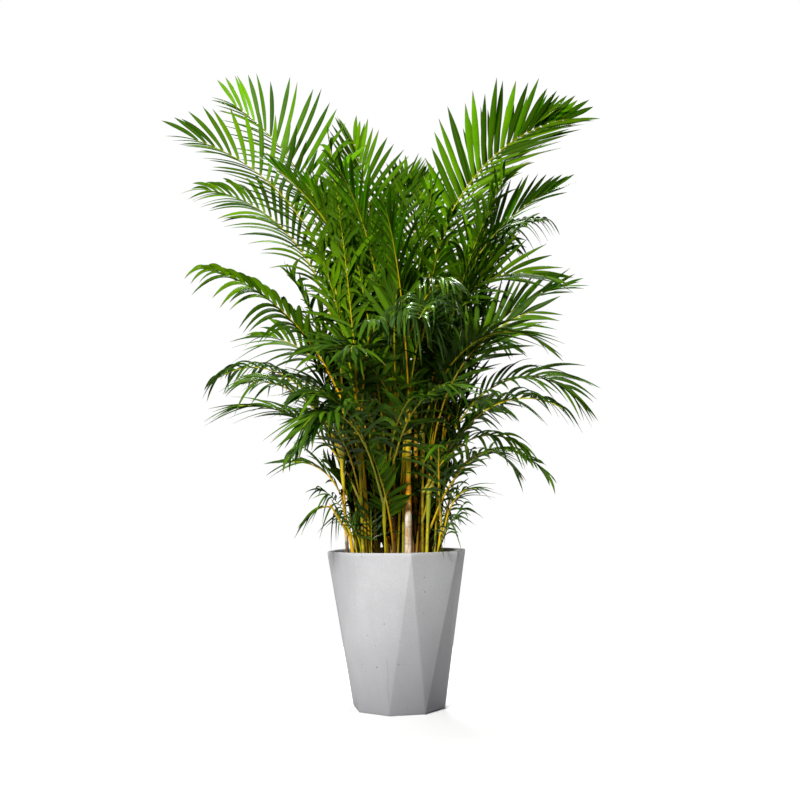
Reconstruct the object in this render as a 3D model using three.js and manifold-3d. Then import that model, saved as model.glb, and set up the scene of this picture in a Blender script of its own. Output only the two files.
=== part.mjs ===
// Potted palm: a clumping feather palm in a faceted concrete planter.
// Millimetres, +Z up, front towards -Y. The origin is the centre of the planter's foot.
import * as THREE from 'three';
import { mergeVertices } from 'three/addons/utils/BufferGeometryUtils.js';
import Module from 'manifold-3d';

const wasm = await Module();
wasm.setup();

const { degToRad, lerp, radToDeg, seededRandom } = THREE.MathUtils;
const UP = new THREE.Vector3(0, 0, 1);

// Planter: octagonal foot, sixteen nearly flat facets, and a rim that is an octagon with bowed sides.
// A bow of 0 is a straight side from corner to corner, a bow of 1 is a round one.
const POT_HEIGHT = 525;
const RIM_RADIUS = 240;
const RIM_BAND = 12;
const RIM_BOW = 0.36;
const FACET_BOW = 0.2;
const RIM_WALL = 26;
const FOOT_RADIUS = 158;
const FOOT_CORNERS = 8;
const FOOT_TURN = degToRad(-11.4);
const RIM_STEPS = 6;
const FLOOR_THICKNESS = 25;
const FLOOR_RADIUS = 124;
const DRAIN_HOLES = 4;
const DRAIN_RADIUS = 6;
const DRAIN_CIRCLE = 65;

// Soil: fills the planter to a hand's breadth below the rim, a little higher in the middle
const CLEARANCE = 0.35;
const SOIL_EDGE = 482;
const SOIL_RISE = 10;
const SOIL_LUMP = 2.5;
const LUMP_SPANS = [17, 23, 31];
const SOIL_RINGS = [0.72, 0.4];
const PLANTING_DEPTH = 55;
const HOLE_TOP = 30;

// Canes: where each leaves the soil, the height of its top and its radius at the soil.
// They fan out as they rise, and swell at the top where the leaf sheaths wrap them.
// A young shoot is one leafy piece: its fronds haven't parted from its short stem yet.
const CANE_FAN = 1.12;
const CANE_SIDES = 8;
const CANE_STEP = 180;
const SHEATH_LENGTH = 130;
const SHEATH_RADIUS = 13.5;
const SHEATH_SWELL = 0.4;
const CANES = [
  { x: -168, y: -20, top: 860, radius: 7.5 },
  { x: -112, y: -80, top: 900, radius: 7 },
  { x: -130, y: 80, top: 1010, radius: 8 },
  { x: -72, y: 25, top: 1080, radius: 8.5 },
  { x: -38, y: -120, top: 700, radius: 7, young: true },
  { x: -40, y: 130, top: 1130, radius: 9 },
  { x: -8, y: -40, top: 980, radius: 8 },
  { x: 37, y: -95, top: 900, radius: 12.5 },
  { x: 64, y: 30, top: 1080, radius: 12 },
  { x: 30, y: 165, top: 1000, radius: 9 },
  { x: 98, y: -85, top: 740, radius: 7.5 },
  { x: 132, y: 0, top: 820, radius: 8 },
  { x: 115, y: 110, top: 1010, radius: 9 },
  { x: -142, y: -95, top: 600, radius: 6, young: true },
  { x: 134, y: -85, top: 600, radius: 6.5, young: true },
  { x: -100, y: -10, top: 680, radius: 6.5, young: true },
  { x: 84, y: -32, top: 940, radius: 7 },
  { x: -10, y: 60, top: 760, radius: 7, young: true },
];

// Fronds. The stalk leaves the vertical by lean degrees and bends by arch degrees more at its tip,
// towards its heading (0 is +X, 90 is +Y, away from the front). The first part of the stalk is bare,
// leaf is the longest leaflet, roll turns the blade about the stalk, droop pulls the leaflets down.
const ARCH_POWER = 1.6;
const STALK_FOOT_RADIUS = 4.6;
const STALK_FOOT_TAPER = 160;
const STALK_RADIUS = 3.6;
const STALK_TIP_RADIUS = 1.7;
const STALK_STEP = 95;
const SLOT_RADIUS = 8;
const FUSED_DEPTH = 6;
const FRONDS = [
  { cane: 3, heading: 165, lean: 9, arch: 44, length: 1260, bare: 600, leaf: 275, roll: -75, droop: 0.12 },
  { cane: 2, heading: 190, lean: 3, arch: 73, length: 1215, bare: 470, leaf: 290, roll: -75, droop: 0.18 },
  { cane: 0, heading: 162, lean: -2, arch: 81, length: 1230, bare: 560, leaf: 260, roll: -50, droop: 0.3 },
  { cane: 1, heading: 205, lean: 21, arch: 62, length: 800, bare: 250, leaf: 205, roll: -65, droop: 0.25 },
  { cane: 2, heading: 150, lean: 35, arch: 50, length: 550, bare: 180, leaf: 210, roll: -45, droop: 0.4 },
  { cane: 0, heading: 215, lean: 31, arch: 80, length: 480, bare: 130, leaf: 210, roll: -25, droop: 0.7 },
  { cane: 4, heading: 238, lean: 20, arch: 122, length: 600, bare: 250, leaf: 230, roll: -10, droop: 0.9 },
  { cane: 13, heading: 225, lean: 30, arch: 125, length: 230, bare: 50, leaf: 150, roll: 0, droop: 1.4 },
  { cane: 8, heading: 14, lean: 2, arch: 74, length: 1290, bare: 600, leaf: 290, roll: 75, droop: 0.12 },
  { cane: 9, heading: -2, lean: 8, arch: 46, length: 1290, bare: 560, leaf: 280, roll: 70, droop: 0.12 },
  { cane: 12, heading: 25, lean: 2, arch: 84, length: 1010, bare: 480, leaf: 215, roll: 50, droop: 0.4 },
  { cane: 16, heading: -5, lean: -3, arch: 115, length: 810, bare: 400, leaf: 250, roll: 45, droop: 0.45 },
  { cane: 10, heading: -10, lean: 5, arch: 72, length: 740, bare: 300, leaf: 235, roll: 78, droop: 0.25 },
  { cane: 11, heading: -25, lean: 22, arch: 123, length: 645, bare: 240, leaf: 215, roll: 35, droop: 0.5 },
  { cane: 10, heading: -35, lean: 35, arch: 106, length: 450, bare: 110, leaf: 200, roll: 20, droop: 0.7 },
  { cane: 14, heading: 40, lean: 10, arch: 138, length: 540, bare: 180, leaf: 180, roll: 15, droop: 0.6 },
  { cane: 14, heading: -50, lean: 18, arch: 90, length: 240, bare: 70, leaf: 150, roll: 0, droop: 1 },
  { cane: 11, heading: 236, lean: -13, arch: 138, length: 740, bare: 400, leaf: 240, roll: -20, droop: 1.1 },
  { cane: 5, heading: 128, lean: 1, arch: 24, length: 970, bare: 360, leaf: 275, roll: -20, droop: 0.1 },
  { cane: 5, heading: 60, lean: 2, arch: 28, length: 850, bare: 300, leaf: 250, roll: 10, droop: 0.12 },
  { cane: 8, heading: 85, lean: 6, arch: 26, length: 880, bare: 320, leaf: 260, roll: 15, droop: 0.1 },
  { cane: 3, heading: 225, lean: 4, arch: 52, length: 760, bare: 240, leaf: 240, roll: -20, droop: 0.4 },
  { cane: 15, heading: 250, lean: 14, arch: 95, length: 520, bare: 160, leaf: 210, roll: 0, droop: 0.7 },
  { cane: 4, heading: 290, lean: 14, arch: 90, length: 520, bare: 150, leaf: 210, roll: 0, droop: 0.7 },
  { cane: 13, heading: 200, lean: 4, arch: 105, length: 360, bare: 110, leaf: 190, roll: -20, droop: 0.8 },
  { cane: 14, heading: 268, lean: 10, arch: 95, length: 430, bare: 120, leaf: 190, roll: 0, droop: 0.8 },
  { cane: 9, heading: 100, lean: 34, arch: 75, length: 560, bare: 190, leaf: 210, roll: 0, droop: 0.5 },
];

// Younger fronds that fill the clump all round, by one rule, from the canes listed here
const UPPER_FILLER_CANES = [6, 9, 12, 5, 7, 6, 11, 3];
const LOWER_FILLER_CANES = [1, 7, 15, 16, 1, 4, 17, 10, 6, 15, 17, 0, 4, 17, 9, 17];
const UPPER_FILLER = { length: [800, 980], bare: 0.26, lean: [3, 12], arch: [45, 70], droop: 0.35 };
const LOWER_FILLER = { length: [540, 700], bare: 0.28, lean: [14, 26], arch: [75, 105], droop: 0.7 };
const FILLER_LEAF = [215, 255];
const FILLER_ROLL = [-20, 20];
const FILLER_TURN = 137.5;
const INWARD_LIMIT = -0.2;
const FILLER_START = 250;
const FILLER_SEED = 11;

// Leaflets
const LEAFLET_SPACING = 44;
const LEAFLET_ROOT = 12;
const LEAFLET_WIDTH = 22;
const LEAFLET_KEEL = 1.9;
const LEAFLET_BEND = 0.42;
const SLANT_AT_STALK = 62;
const SLANT_AT_TIP = 24;
const LEAFLET_LIFT = 24;
const SHORTEST_LEAFLET = 0.46;
const LONGEST_PLACE = 0.75;
const NARROWEST_LEAFLET = 0.62;
const FULL_WIDTH_LEAF = 200;
const ROOT_SAG = 0.18;

// A leaflet that would cross another piece swings aside, a little more at each try
const LEAFLET_TRIES = 14;
const FIRST_SWING = 4;
const SWING_STEP = 2.6;
const LIFT_SWING = 1.6;
const DROOP_SWING = 0.02;
const SHORTENING = 0.03;
const LEAFLET_SEED = 5;
const LEAF_CLEARANCE = 0.8;
const STALK_CLEARANCE = 2;
const STALK_TURN = 5;
const STALK_TURNS = 72;
const LOWEST_LEAF = POT_HEIGHT + 4;

// ---------------------------------------------------------------- closed bodies

// Triangles between two rings, each side split along one diagonal or, mirrored, along the other
function wallFaces(first, second, mirrored) {
  return first.flatMap((corner, i) => {
    const next = (i + 1) % first.length;
    if (mirrored) {
      return [[corner, first[next], second[i]], [first[next], second[next], second[i]]];
    }
    return [[corner, first[next], second[next]], [corner, second[next], second[i]]];
  });
}

class Body {
  points = [];
  faces = [];

  add(point) {
    this.points.push(point);
    return this.points.length - 1;
  }

  ring(points) {
    return points.map((point) => this.add(point));
  }

  // Side wall between two rings that run counter-clockwise seen from the second one
  band(first, second, mirrored = false) {
    this.faces.push(...wallFaces(first, second, mirrored));
  }

  // Flat end that looks towards the side from which the ring runs counter-clockwise
  cap(ring) {
    for (let i = 1; i < ring.length - 1; i += 1) {
      this.faces.push([ring[0], ring[i], ring[i + 1]]);
    }
  }

  peak(ring, top) {
    for (let i = 0; i < ring.length; i += 1) {
      this.faces.push([ring[i], ring[(i + 1) % ring.length], top]);
    }
  }

  stack(rings) {
    const placed = rings.map((ring) => this.ring(ring));
    this.cap([...placed[0]].reverse());
    for (let i = 1; i < placed.length; i += 1) {
      this.band(placed[i - 1], placed[i]);
    }
    this.cap(placed[placed.length - 1]);
    return this;
  }

  geometry() {
    const geometry = new THREE.BufferGeometry();
    const numbers = this.points.flatMap((point) => point.toArray());
    geometry.setAttribute('position', new THREE.Float32BufferAttribute(numbers, 3));
    geometry.setIndex(this.faces.flat());
    return geometry;
  }
}

// Edges shorter than these are left out where a solid is cut or joined
const CUT_SLIVER = 0.05;
const JOIN_SLIVER = 0.6;

function toSolid(geometry) {
  const bare = geometry.clone();
  bare.deleteAttribute('normal');
  bare.deleteAttribute('uv');
  const merged = mergeVertices(bare);
  const vertProperties = new Float32Array(merged.attributes.position.array);
  const triVerts = new Uint32Array(merged.index.array);
  return new wasm.Manifold(new wasm.Mesh({ numProp: 3, vertProperties, triVerts }));
}

function fromSolid(solid) {
  const mesh = solid.getMesh();
  const geometry = new THREE.BufferGeometry();
  geometry.setAttribute('position', new THREE.Float32BufferAttribute(mesh.vertProperties, 3));
  geometry.setIndex(Array.from(mesh.triVerts));
  return geometry;
}

function cutAway(geometry, cutters) {
  const cut = cutters.reduce((solid, cutter) => solid.subtract(toSolid(cutter)), toSolid(geometry));
  return fromSolid(cut.asOriginal().simplify(CUT_SLIVER));
}

function joinTogether(geometry, others) {
  const joined = others.reduce((solid, other) => solid.add(toSolid(other)), toSolid(geometry));
  return fromSolid(joined.asOriginal().simplify(JOIN_SLIVER));
}

function addPiece(group, name, geometry, color, roughness) {
  const material = new THREE.MeshStandardMaterial({ color, roughness, metalness: 0 });
  const flat = geometry.toNonIndexed();
  flat.computeVertexNormals();
  const mesh = new THREE.Mesh(flat, material);
  mesh.name = name;
  group.add(mesh);
}

// ---------------------------------------------------------------- planter and soil

// Point at a turn from the front, counter-clockwise seen from above
function around(turn, radius, z) {
  return new THREE.Vector3(radius * Math.sin(turn), -radius * Math.cos(turn), z);
}

const FACET_TURN = (2 * Math.PI) / FOOT_CORNERS;

function roundRing(radius, z) {
  const count = FOOT_CORNERS * RIM_STEPS;
  const start = FOOT_TURN - FACET_TURN / 2;
  return Array.from({ length: count }, (_, i) => around(start + (2 * Math.PI * i) / count, radius, z));
}

// Ring with a corner above the middle of each side of the foot, and sides that bow outwards between
function bowedRing(radius, bow, z) {
  return roundRing(radius, z).map((point, i) => {
    const turn = FACET_TURN * ((i % RIM_STEPS) / RIM_STEPS - 0.5);
    const straight = Math.cos(FACET_TURN / 2) / Math.cos(turn);
    const size = lerp(straight, 1, bow);
    return new THREE.Vector3(point.x * size, point.y * size, z);
  });
}

// Radius of the cavity at a height
function cavityRadius(z) {
  const rise = (z - FLOOR_THICKNESS) / (POT_HEIGHT - FLOOR_THICKNESS);
  return lerp(FLOOR_RADIUS, RIM_RADIUS - RIM_WALL, rise);
}

function makePlanter() {
  const body = new Body();
  const cornerTurn = (k) => FOOT_TURN + k * FACET_TURN;
  const corners = Array.from({ length: FOOT_CORNERS }, (_, k) => around(cornerTurn(k), FOOT_RADIUS, 0));
  const foot = body.ring(corners);
  const rim = body.ring(bowedRing(RIM_RADIUS, FACET_BOW, POT_HEIGHT - RIM_BAND));
  body.cap([...foot].reverse());
  for (let k = 0; k < FOOT_CORNERS; k += 1) {
    // A facet that stands on its point at a foot corner and widens to one side of the rim
    for (let i = 0; i < RIM_STEPS; i += 1) {
      const left = rim[k * RIM_STEPS + i];
      const right = rim[(k * RIM_STEPS + i + 1) % rim.length];
      body.faces.push([foot[k], right, left]);
    }
    // A facet that stands on one side of the foot and ends in a point at the rim
    const crease = rim[((k + 1) * RIM_STEPS) % rim.length];
    body.faces.push([foot[k], foot[(k + 1) % FOOT_CORNERS], crease]);
  }
  const outerEdge = body.ring(bowedRing(RIM_RADIUS, RIM_BOW, POT_HEIGHT));
  const innerEdge = body.ring(roundRing(RIM_RADIUS - RIM_WALL, POT_HEIGHT));
  const floor = body.ring(roundRing(FLOOR_RADIUS, FLOOR_THICKNESS));
  body.band(rim, outerEdge);
  body.band(outerEdge, innerEdge);
  body.band(innerEdge, floor);
  body.cap(floor);

  const drains = [];
  for (let i = 0; i < DRAIN_HOLES; i += 1) {
    const drain = new THREE.CylinderGeometry(DRAIN_RADIUS, DRAIN_RADIUS, 3 * FLOOR_THICKNESS, 10);
    const place = around((2 * Math.PI * i) / DRAIN_HOLES, DRAIN_CIRCLE, FLOOR_THICKNESS / 2);
    drain.rotateX(Math.PI / 2);
    drain.translate(place.x, place.y, place.z);
    drains.push(drain);
  }
  return cutAway(body.geometry(), drains);
}

function soilHeight(x, y) {
  const share = Math.hypot(x, y) / cavityRadius(SOIL_EDGE);
  const [first, second, third] = LUMP_SPANS;
  const lumps = Math.sin(x / first) * Math.cos(y / second) + Math.sin((x + y) / third);
  return SOIL_EDGE + SOIL_RISE * (1 - share * share) + SOIL_LUMP * lumps * (1 - share);
}

function makeSoil(canes) {
  const body = new Body();
  const bottomZ = FLOOR_THICKNESS + CLEARANCE;
  const bottom = body.ring(roundRing(cavityRadius(bottomZ) - 2 * CLEARANCE, bottomZ));
  const edgeRadius = cavityRadius(SOIL_EDGE) - 2 * CLEARANCE;
  let ring = body.ring(roundRing(edgeRadius, SOIL_EDGE));
  body.cap([...bottom].reverse());
  body.band(bottom, ring);
  for (const share of SOIL_RINGS) {
    const lumpy = roundRing(edgeRadius * share, 0).map((p) => p.setZ(soilHeight(p.x, p.y)));
    const inner = body.ring(lumpy);
    body.band(ring, inner);
    ring = inner;
  }
  body.peak(ring, body.add(new THREE.Vector3(0, 0, soilHeight(0, 0))));
  const holes = canes.map((cane) => caneBody(cane, [-PLANTING_DEPTH - CLEARANCE, 0, HOLE_TOP], CLEARANCE));
  return cutAway(body.geometry(), holes);
}

// ---------------------------------------------------------------- canes

function caneName(index) {
  const kind = CANES[index].young ? 'shoot' : 'cane';
  return `${kind}_${String(index + 1).padStart(2, '0')}`;
}

function caneCentre(cane, z) {
  const rise = (z - SOIL_EDGE) / (cane.top - SOIL_EDGE);
  const fan = lerp(1, CANE_FAN, rise);
  return new THREE.Vector3(cane.x * fan, cane.y * fan, z);
}

// Height above the soil at which the leaf sheaths begin
function sheathStart(cane) {
  const full = cane.top - SOIL_EDGE;
  return Math.max(full - SHEATH_LENGTH, 0.3 * full);
}

// A cane is a little thicker in the soil, thins upwards and swells into its sheath
function caneRadius(cane, height) {
  const sheath = sheathStart(cane);
  if (height <= 0) {
    return cane.radius * 1.1;
  }
  if (height < sheath) {
    return cane.radius * lerp(1.1, 0.9, height / sheath);
  }
  const swell = SHEATH_SWELL * (cane.top - SOIL_EDGE - sheath);
  const share = Math.min(1, (height - sheath) / swell);
  return lerp(cane.radius * 0.9, SHEATH_RADIUS, THREE.MathUtils.smoothstep(share, 0, 1));
}

function caneRing(cane, height, extra) {
  const centre = caneCentre(cane, SOIL_EDGE + height);
  const radius = caneRadius(cane, height) + extra;
  const turn = (i) => (2 * Math.PI * i) / CANE_SIDES;
  return Array.from({ length: CANE_SIDES }, (_, i) => around(turn(i), radius, 0).add(centre));
}

function caneBody(cane, heights, extra) {
  const rings = heights.map((height) => caneRing(cane, height, extra));
  return new Body().stack(rings).geometry();
}

function makeCane(cane) {
  const full = cane.top - SOIL_EDGE;
  const sheath = sheathStart(cane);
  const swell = SHEATH_SWELL * (full - sheath);
  const heights = [-PLANTING_DEPTH, 0];
  const steps = Math.max(1, Math.round(sheath / CANE_STEP));
  for (let i = 1; i <= steps; i += 1) {
    heights.push((sheath * i) / steps);
  }
  heights.push(sheath + swell / 2, sheath + swell, full);
  return caneBody(cane, heights, 0);
}

// ---------------------------------------------------------------- obstacles

const obstacles = [];

function asBlock(triangles, owner, pair) {
  const box = new THREE.Box3();
  const faces = triangles.map(([a, b, c]) => {
    const triangle = new THREE.Triangle(a, b, c);
    const plane = triangle.getPlane(new THREE.Plane());
    for (const corner of [a, b, c]) {
      box.expandByPoint(corner);
    }
    return { triangle, plane };
  });
  return { box, faces, owner, pair };
}

const crossing = new THREE.Vector3();

// True where an edge of the first face runs through the second face
function edgePierces(first, second) {
  const corners = [first.triangle.a, first.triangle.b, first.triangle.c];
  const heights = corners.map((corner) => second.plane.distanceToPoint(corner));
  for (let i = 0; i < 3; i += 1) {
    const next = (i + 1) % 3;
    if (heights[i] * heights[next] < 0) {
      crossing.lerpVectors(corners[i], corners[next], heights[i] / (heights[i] - heights[next]));
      if (second.triangle.containsPoint(crossing)) {
        return true;
      }
    }
  }
  return false;
}

function blocksMeet(first, second) {
  if (!first.box.intersectsBox(second.box)) {
    return false;
  }
  return first.faces.some((a) => second.faces.some((b) => edgePierces(a, b) || edgePierces(b, a)));
}

function isClear(block, skips) {
  if (block.box.min.z < LOWEST_LEAF) {
    return false;
  }
  return obstacles.every((other) => skips(other) || !blocksMeet(block, other));
}

function ringBlock(first, second, owner, pair, mirrored = false) {
  return asBlock(wallFaces(first, second, mirrored), owner, pair);
}

// ---------------------------------------------------------------- fronds

function stalkRadius(frond, distance) {
  const foot = Math.max(0, 1 - distance / STALK_FOOT_TAPER) ** 2;
  const radius = lerp(STALK_RADIUS, STALK_TIP_RADIUS, distance / frond.length);
  return lerp(radius, STALK_FOOT_RADIUS, foot);
}

// The frame of the stalk at a distance from its foot: along it, to its side and to its upper side
function placeOn(frond, distance) {
  const step = 5;
  const heading = degToRad(frond.heading);
  const out = new THREE.Vector3(Math.cos(heading), Math.sin(heading), 0);
  const point = frond.foot.clone();
  const along = new THREE.Vector3();
  for (let done = 0; ; done += step) {
    const share = Math.min(1, done / frond.length);
    const angle = degToRad(frond.lean + frond.arch * Math.pow(share, ARCH_POWER));
    along.copy(out).multiplyScalar(Math.sin(angle)).addScaledVector(UP, Math.cos(angle));
    if (done + step > distance) {
      point.addScaledVector(along, distance - done);
      break;
    }
    point.addScaledVector(along, step);
  }
  const roll = degToRad(frond.roll) * Math.min(1, distance / frond.bare);
  const level = new THREE.Vector3(out.y, -out.x, 0);
  const upper = new THREE.Vector3().crossVectors(level, along);
  const side = level.clone().multiplyScalar(Math.cos(roll)).addScaledVector(upper, -Math.sin(roll));
  upper.multiplyScalar(Math.cos(roll)).addScaledVector(level, Math.sin(roll));
  return { point, along: along.clone(), side, upper };
}

// Three-cornered section of the stalk: its ridge, then its two lower corners
function stalkRing(frond, distance, extra) {
  const { point, side, upper } = placeOn(frond, distance);
  const radius = stalkRadius(frond, distance) + extra;
  const ridge = point.clone().addScaledVector(upper, radius);
  const low = [1, -1].map((sign) =>
    point.clone().addScaledVector(upper, -radius / 2).addScaledVector(side, 0.87 * radius * sign));
  return [ridge, ...low];
}

// The foot is cut level, where it rests on its cane
function footRing(frond) {
  return stalkRing(frond, 0, 0).map((corner) => corner.setZ(frond.foot.z));
}

function stalkDistances(frond) {
  const bareSteps = Math.max(2, Math.round(frond.bare / STALK_STEP));
  const bare = Array.from({ length: bareSteps }, (_, i) => (frond.bare * i) / bareSteps);
  const bladed = frond.length - frond.bare - 2 * LEAFLET_ROOT;
  const pairs = Math.max(4, Math.round(bladed / LEAFLET_SPACING));
  const leafed = Array.from({ length: pairs }, (_, i) => frond.bare + (bladed * i) / (pairs - 1));
  return { bare, leafed };
}

function stalkBlocks(frond, owner, extra) {
  const { bare, leafed } = stalkDistances(frond);
  const distances = [...bare, ...leafed, frond.length];
  const rings = distances.map((distance) => stalkRing(frond, distance, extra));
  rings[0].forEach((corner) => corner.setZ(frond.foot.z));
  return rings.slice(1).map((ring, i) => ringBlock(rings[i], ring, owner, -1));
}

// Turns a frond a few degrees at a time until its stalk runs clear of all stalks and canes
function settleStalk(frond, owner) {
  const heading = frond.heading;
  const skips = (other) => CANES[frond.cane].young && other.owner === caneName(frond.cane);
  const sway = (i) => (i % 2 ? 1 : -1) * Math.ceil(i / 2) * STALK_TURN;
  const turns = Array.from({ length: STALK_TURNS }, (_, i) => sway(i));
  const clearTurn = turns.find((turn) => {
    frond.heading = heading + turn;
    return stalkBlocks(frond, owner, STALK_CLEARANCE).every((block) => isClear(block, skips));
  });
  frond.heading = heading + (clearTurn ?? 0);
  obstacles.push(...stalkBlocks(frond, owner, 0));
}

// The leaflet's bend (near edge, far edge, keel) and its tip, from its root on the stalk
function leafletShape(frond, distance, sign, share, shift) {
  const { point, along, side, upper } = placeOn(frond, distance + LEAFLET_ROOT / 2);
  const slant = degToRad(lerp(SLANT_AT_STALK, SLANT_AT_TIP, share) + shift.slant);
  const lift = degToRad(LEAFLET_LIFT + shift.lift);
  const outward = side.clone().multiplyScalar(sign * Math.cos(lift)).addScaledVector(upper, Math.sin(lift));
  const reach = along.clone().multiplyScalar(Math.cos(slant)).addScaledVector(outward, Math.sin(slant));
  const size = lerp(SHORTEST_LEAFLET, 1, Math.sin(Math.PI * Math.pow(share, LONGEST_PLACE)));
  const length = frond.leaf * size * shift.length;
  const width = LEAFLET_WIDTH * lerp(NARROWEST_LEAFLET, 1, size) * Math.min(1, frond.leaf / FULL_WIDTH_LEAF);
  const across = along.clone().addScaledVector(reach, -along.dot(reach)).normalize();
  const top = new THREE.Vector3().crossVectors(reach, across).multiplyScalar(sign);
  const sag = frond.droop + shift.droop;
  const first = reach.clone().addScaledVector(UP, -ROOT_SAG * sag).normalize();
  const second = reach.clone().addScaledVector(UP, -sag).normalize();
  const bend = point.clone().addScaledVector(first, length * LEAFLET_BEND);
  return {
    near: bend.clone().addScaledVector(across, -width / 2),
    far: bend.clone().addScaledVector(across, width / 2),
    keel: bend.clone().addScaledVector(top, -LEAFLET_KEEL),
    tip: bend.clone().addScaledVector(second, length * (1 - LEAFLET_BEND)),
    top,
  };
}

function leafletBlock(root, shape, sign, lifted, owner, pair) {
  const move = (corner) => corner.clone().addScaledVector(shape.top, lifted);
  const [near, far, keel, tip] = [shape.near, shape.far, shape.keel, shape.tip].map(move);
  const mid = sign > 0 ? [near, keel, far] : [near, far, keel];
  const block = ringBlock(root, mid, owner, pair, sign < 0);
  const end = asBlock(mid.map((corner, i) => [corner, mid[(i + 1) % 3], tip]), owner, pair);
  block.faces.push(...end.faces);
  block.box.union(end.box);
  return block;
}

// Tries a leaflet as it would grow, then bent, turned and shortened, until it crosses nothing
function findLeaflet(frond, owner, distance, sign, share, root, pair) {
  const skips = (other) => other.owner === owner && (other.pair === -1 || other.pair === pair);
  for (let i = 0; i < LEAFLET_TRIES; i += 1) {
    const swing = FIRST_SWING + SWING_STEP * i;
    const shift = {
      slant: (seededRandom() - 0.5) * swing,
      lift: (seededRandom() - 0.4) * swing * LIFT_SWING,
      droop: (seededRandom() - 0.4) * swing * DROOP_SWING,
      length: 1 - SHORTENING * i * seededRandom(),
    };
    const shape = leafletShape(frond, distance, sign, share, shift);
    const tests = [-LEAF_CLEARANCE, 0, LEAF_CLEARANCE];
    if (tests.every((lifted) => isClear(leafletBlock(root, shape, sign, lifted, owner, pair), skips))) {
      obstacles.push(leafletBlock(root, shape, sign, 0, owner, pair));
      return shape;
    }
  }
  return null;
}

// Grows a leaflet out of its three-cornered root, or leaves the root as a flat face
function addLeaflet(body, root, sign, shape) {
  if (!shape) {
    body.faces.push(root);
    return;
  }
  const corners = sign > 0 ? [shape.near, shape.keel, shape.far] : [shape.near, shape.far, shape.keel];
  const bend = body.ring(corners);
  body.band(root, bend, sign < 0);
  body.peak(bend, body.add(shape.tip));
}

// The stalk between the end of one pair of leaflet roots and the start of the next
function addStalkBetween(body, ridgeEnd, [left, right], [nextRidge, nextLeft, nextRight]) {
  body.faces.push([ridgeEnd, left, nextLeft], [ridgeEnd, nextLeft, nextRidge]);
  body.faces.push([ridgeEnd, nextRight, right], [ridgeEnd, nextRidge, nextRight]);
  body.faces.push([left, right, nextRight], [left, nextRight, nextLeft]);
}

function makeFrond(frond, owner) {
  const body = new Body();
  const { bare, leafed } = stalkDistances(frond);
  const rings = [footRing(frond)];
  for (const distance of [...bare.slice(1), ...leafed]) {
    rings.push(stalkRing(frond, distance, 0));
  }
  const placed = rings.map((ring) => body.ring(ring));
  body.cap([...placed[0]].reverse());
  for (let i = 1; i <= bare.length; i += 1) {
    body.band(placed[i - 1], placed[i]);
  }
  leafed.forEach((distance, pair) => {
    const share = pair / (leafed.length - 1);
    const [ridge, left, right] = placed[bare.length + pair];
    const ridgeEnd = body.add(stalkRing(frond, distance + LEAFLET_ROOT, 0)[0]);
    for (const sign of [1, -1]) {
      const root = sign > 0 ? [ridge, left, ridgeEnd] : [ridge, ridgeEnd, right];
      const corners = root.map((index) => body.points[index]);
      addLeaflet(body, root, sign, findLeaflet(frond, owner, distance, sign, share, corners, pair));
    }
    if (pair < leafed.length - 1) {
      addStalkBetween(body, ridgeEnd, [left, right], placed[bare.length + pair + 1]);
    } else {
      const tip = body.add(placeOn(frond, frond.length).point);
      body.faces.push([ridgeEnd, left, tip], [ridgeEnd, tip, right], [left, right, tip]);
    }
  });
  return body.geometry();
}

function between([low, high]) {
  return lerp(low, high, seededRandom());
}

// A frond that would grow in through the clump grows out on the other side instead
function outwardHeading(cane, heading) {
  const outward = radToDeg(Math.atan2(cane.y, cane.x));
  const inward = Math.cos(degToRad(heading - outward)) < INWARD_LIMIT;
  return (inward ? heading + 180 : heading) % 360;
}

function fillerFronds() {
  seededRandom(FILLER_SEED);
  return [...UPPER_FILLER_CANES, ...LOWER_FILLER_CANES].map((cane, i) => {
    const kind = i < UPPER_FILLER_CANES.length ? UPPER_FILLER : LOWER_FILLER;
    const length = between(kind.length);
    return {
      cane,
      heading: outwardHeading(CANES[cane], FILLER_START + FILLER_TURN * i),
      lean: between(kind.lean),
      arch: between(kind.arch),
      length,
      bare: kind.bare * length,
      leaf: between(FILLER_LEAF),
      roll: between(FILLER_ROLL),
      droop: kind.droop,
    };
  });
}

// The stalks of one cane stand on its top in the order of their headings, evenly spaced round it
function plantFronds(fronds) {
  CANES.forEach((cane, index) => {
    const own = fronds.filter((frond) => frond.cane === index);
    own.sort((a, b) => (a.heading + 360) % 360 - (b.heading + 360) % 360);
    const spare = own.map((frond, k) => (frond.heading + 360) % 360 - (360 * k) / own.length);
    const firstSlot = spare.reduce((sum, angle) => sum + angle, 0) / own.length;
    own.forEach((frond, k) => {
      const slot = degToRad(firstSlot + (360 * k) / own.length);
      const reach = own.length > 1 ? SLOT_RADIUS : 0;
      const lift = cane.young ? -FUSED_DEPTH : CLEARANCE;
      frond.foot = caneCentre(cane, cane.top);
      frond.foot.add(new THREE.Vector3(Math.cos(slot) * reach, Math.sin(slot) * reach, lift));
    });
  });
}

// ---------------------------------------------------------------- the whole plant

const GREEN = 0x3f7d18;
const OCHRE = 0xc79a3a;

const palm = new THREE.Group();
addPiece(palm, 'pot', makePlanter(), 0xb9bcc0, 0.85);
addPiece(palm, 'soil', makeSoil(CANES), 0x2a2019, 0.95);

const canes = CANES.map(makeCane);
canes.forEach((geometry, i) => {
  const corners = geometry.toNonIndexed().attributes.position;
  const faces = [];
  for (let k = 0; k < corners.count; k += 3) {
    faces.push([0, 1, 2].map((c) => new THREE.Vector3().fromBufferAttribute(corners, k + c)));
  }
  obstacles.push(asBlock(faces, caneName(i), -1));
});

const fronds = [...FRONDS, ...fillerFronds()];
plantFronds(fronds);
fronds.forEach((frond, i) => settleStalk(frond, i));
seededRandom(LEAFLET_SEED);
const blades = fronds.map((frond, i) => makeFrond(frond, i));

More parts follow.
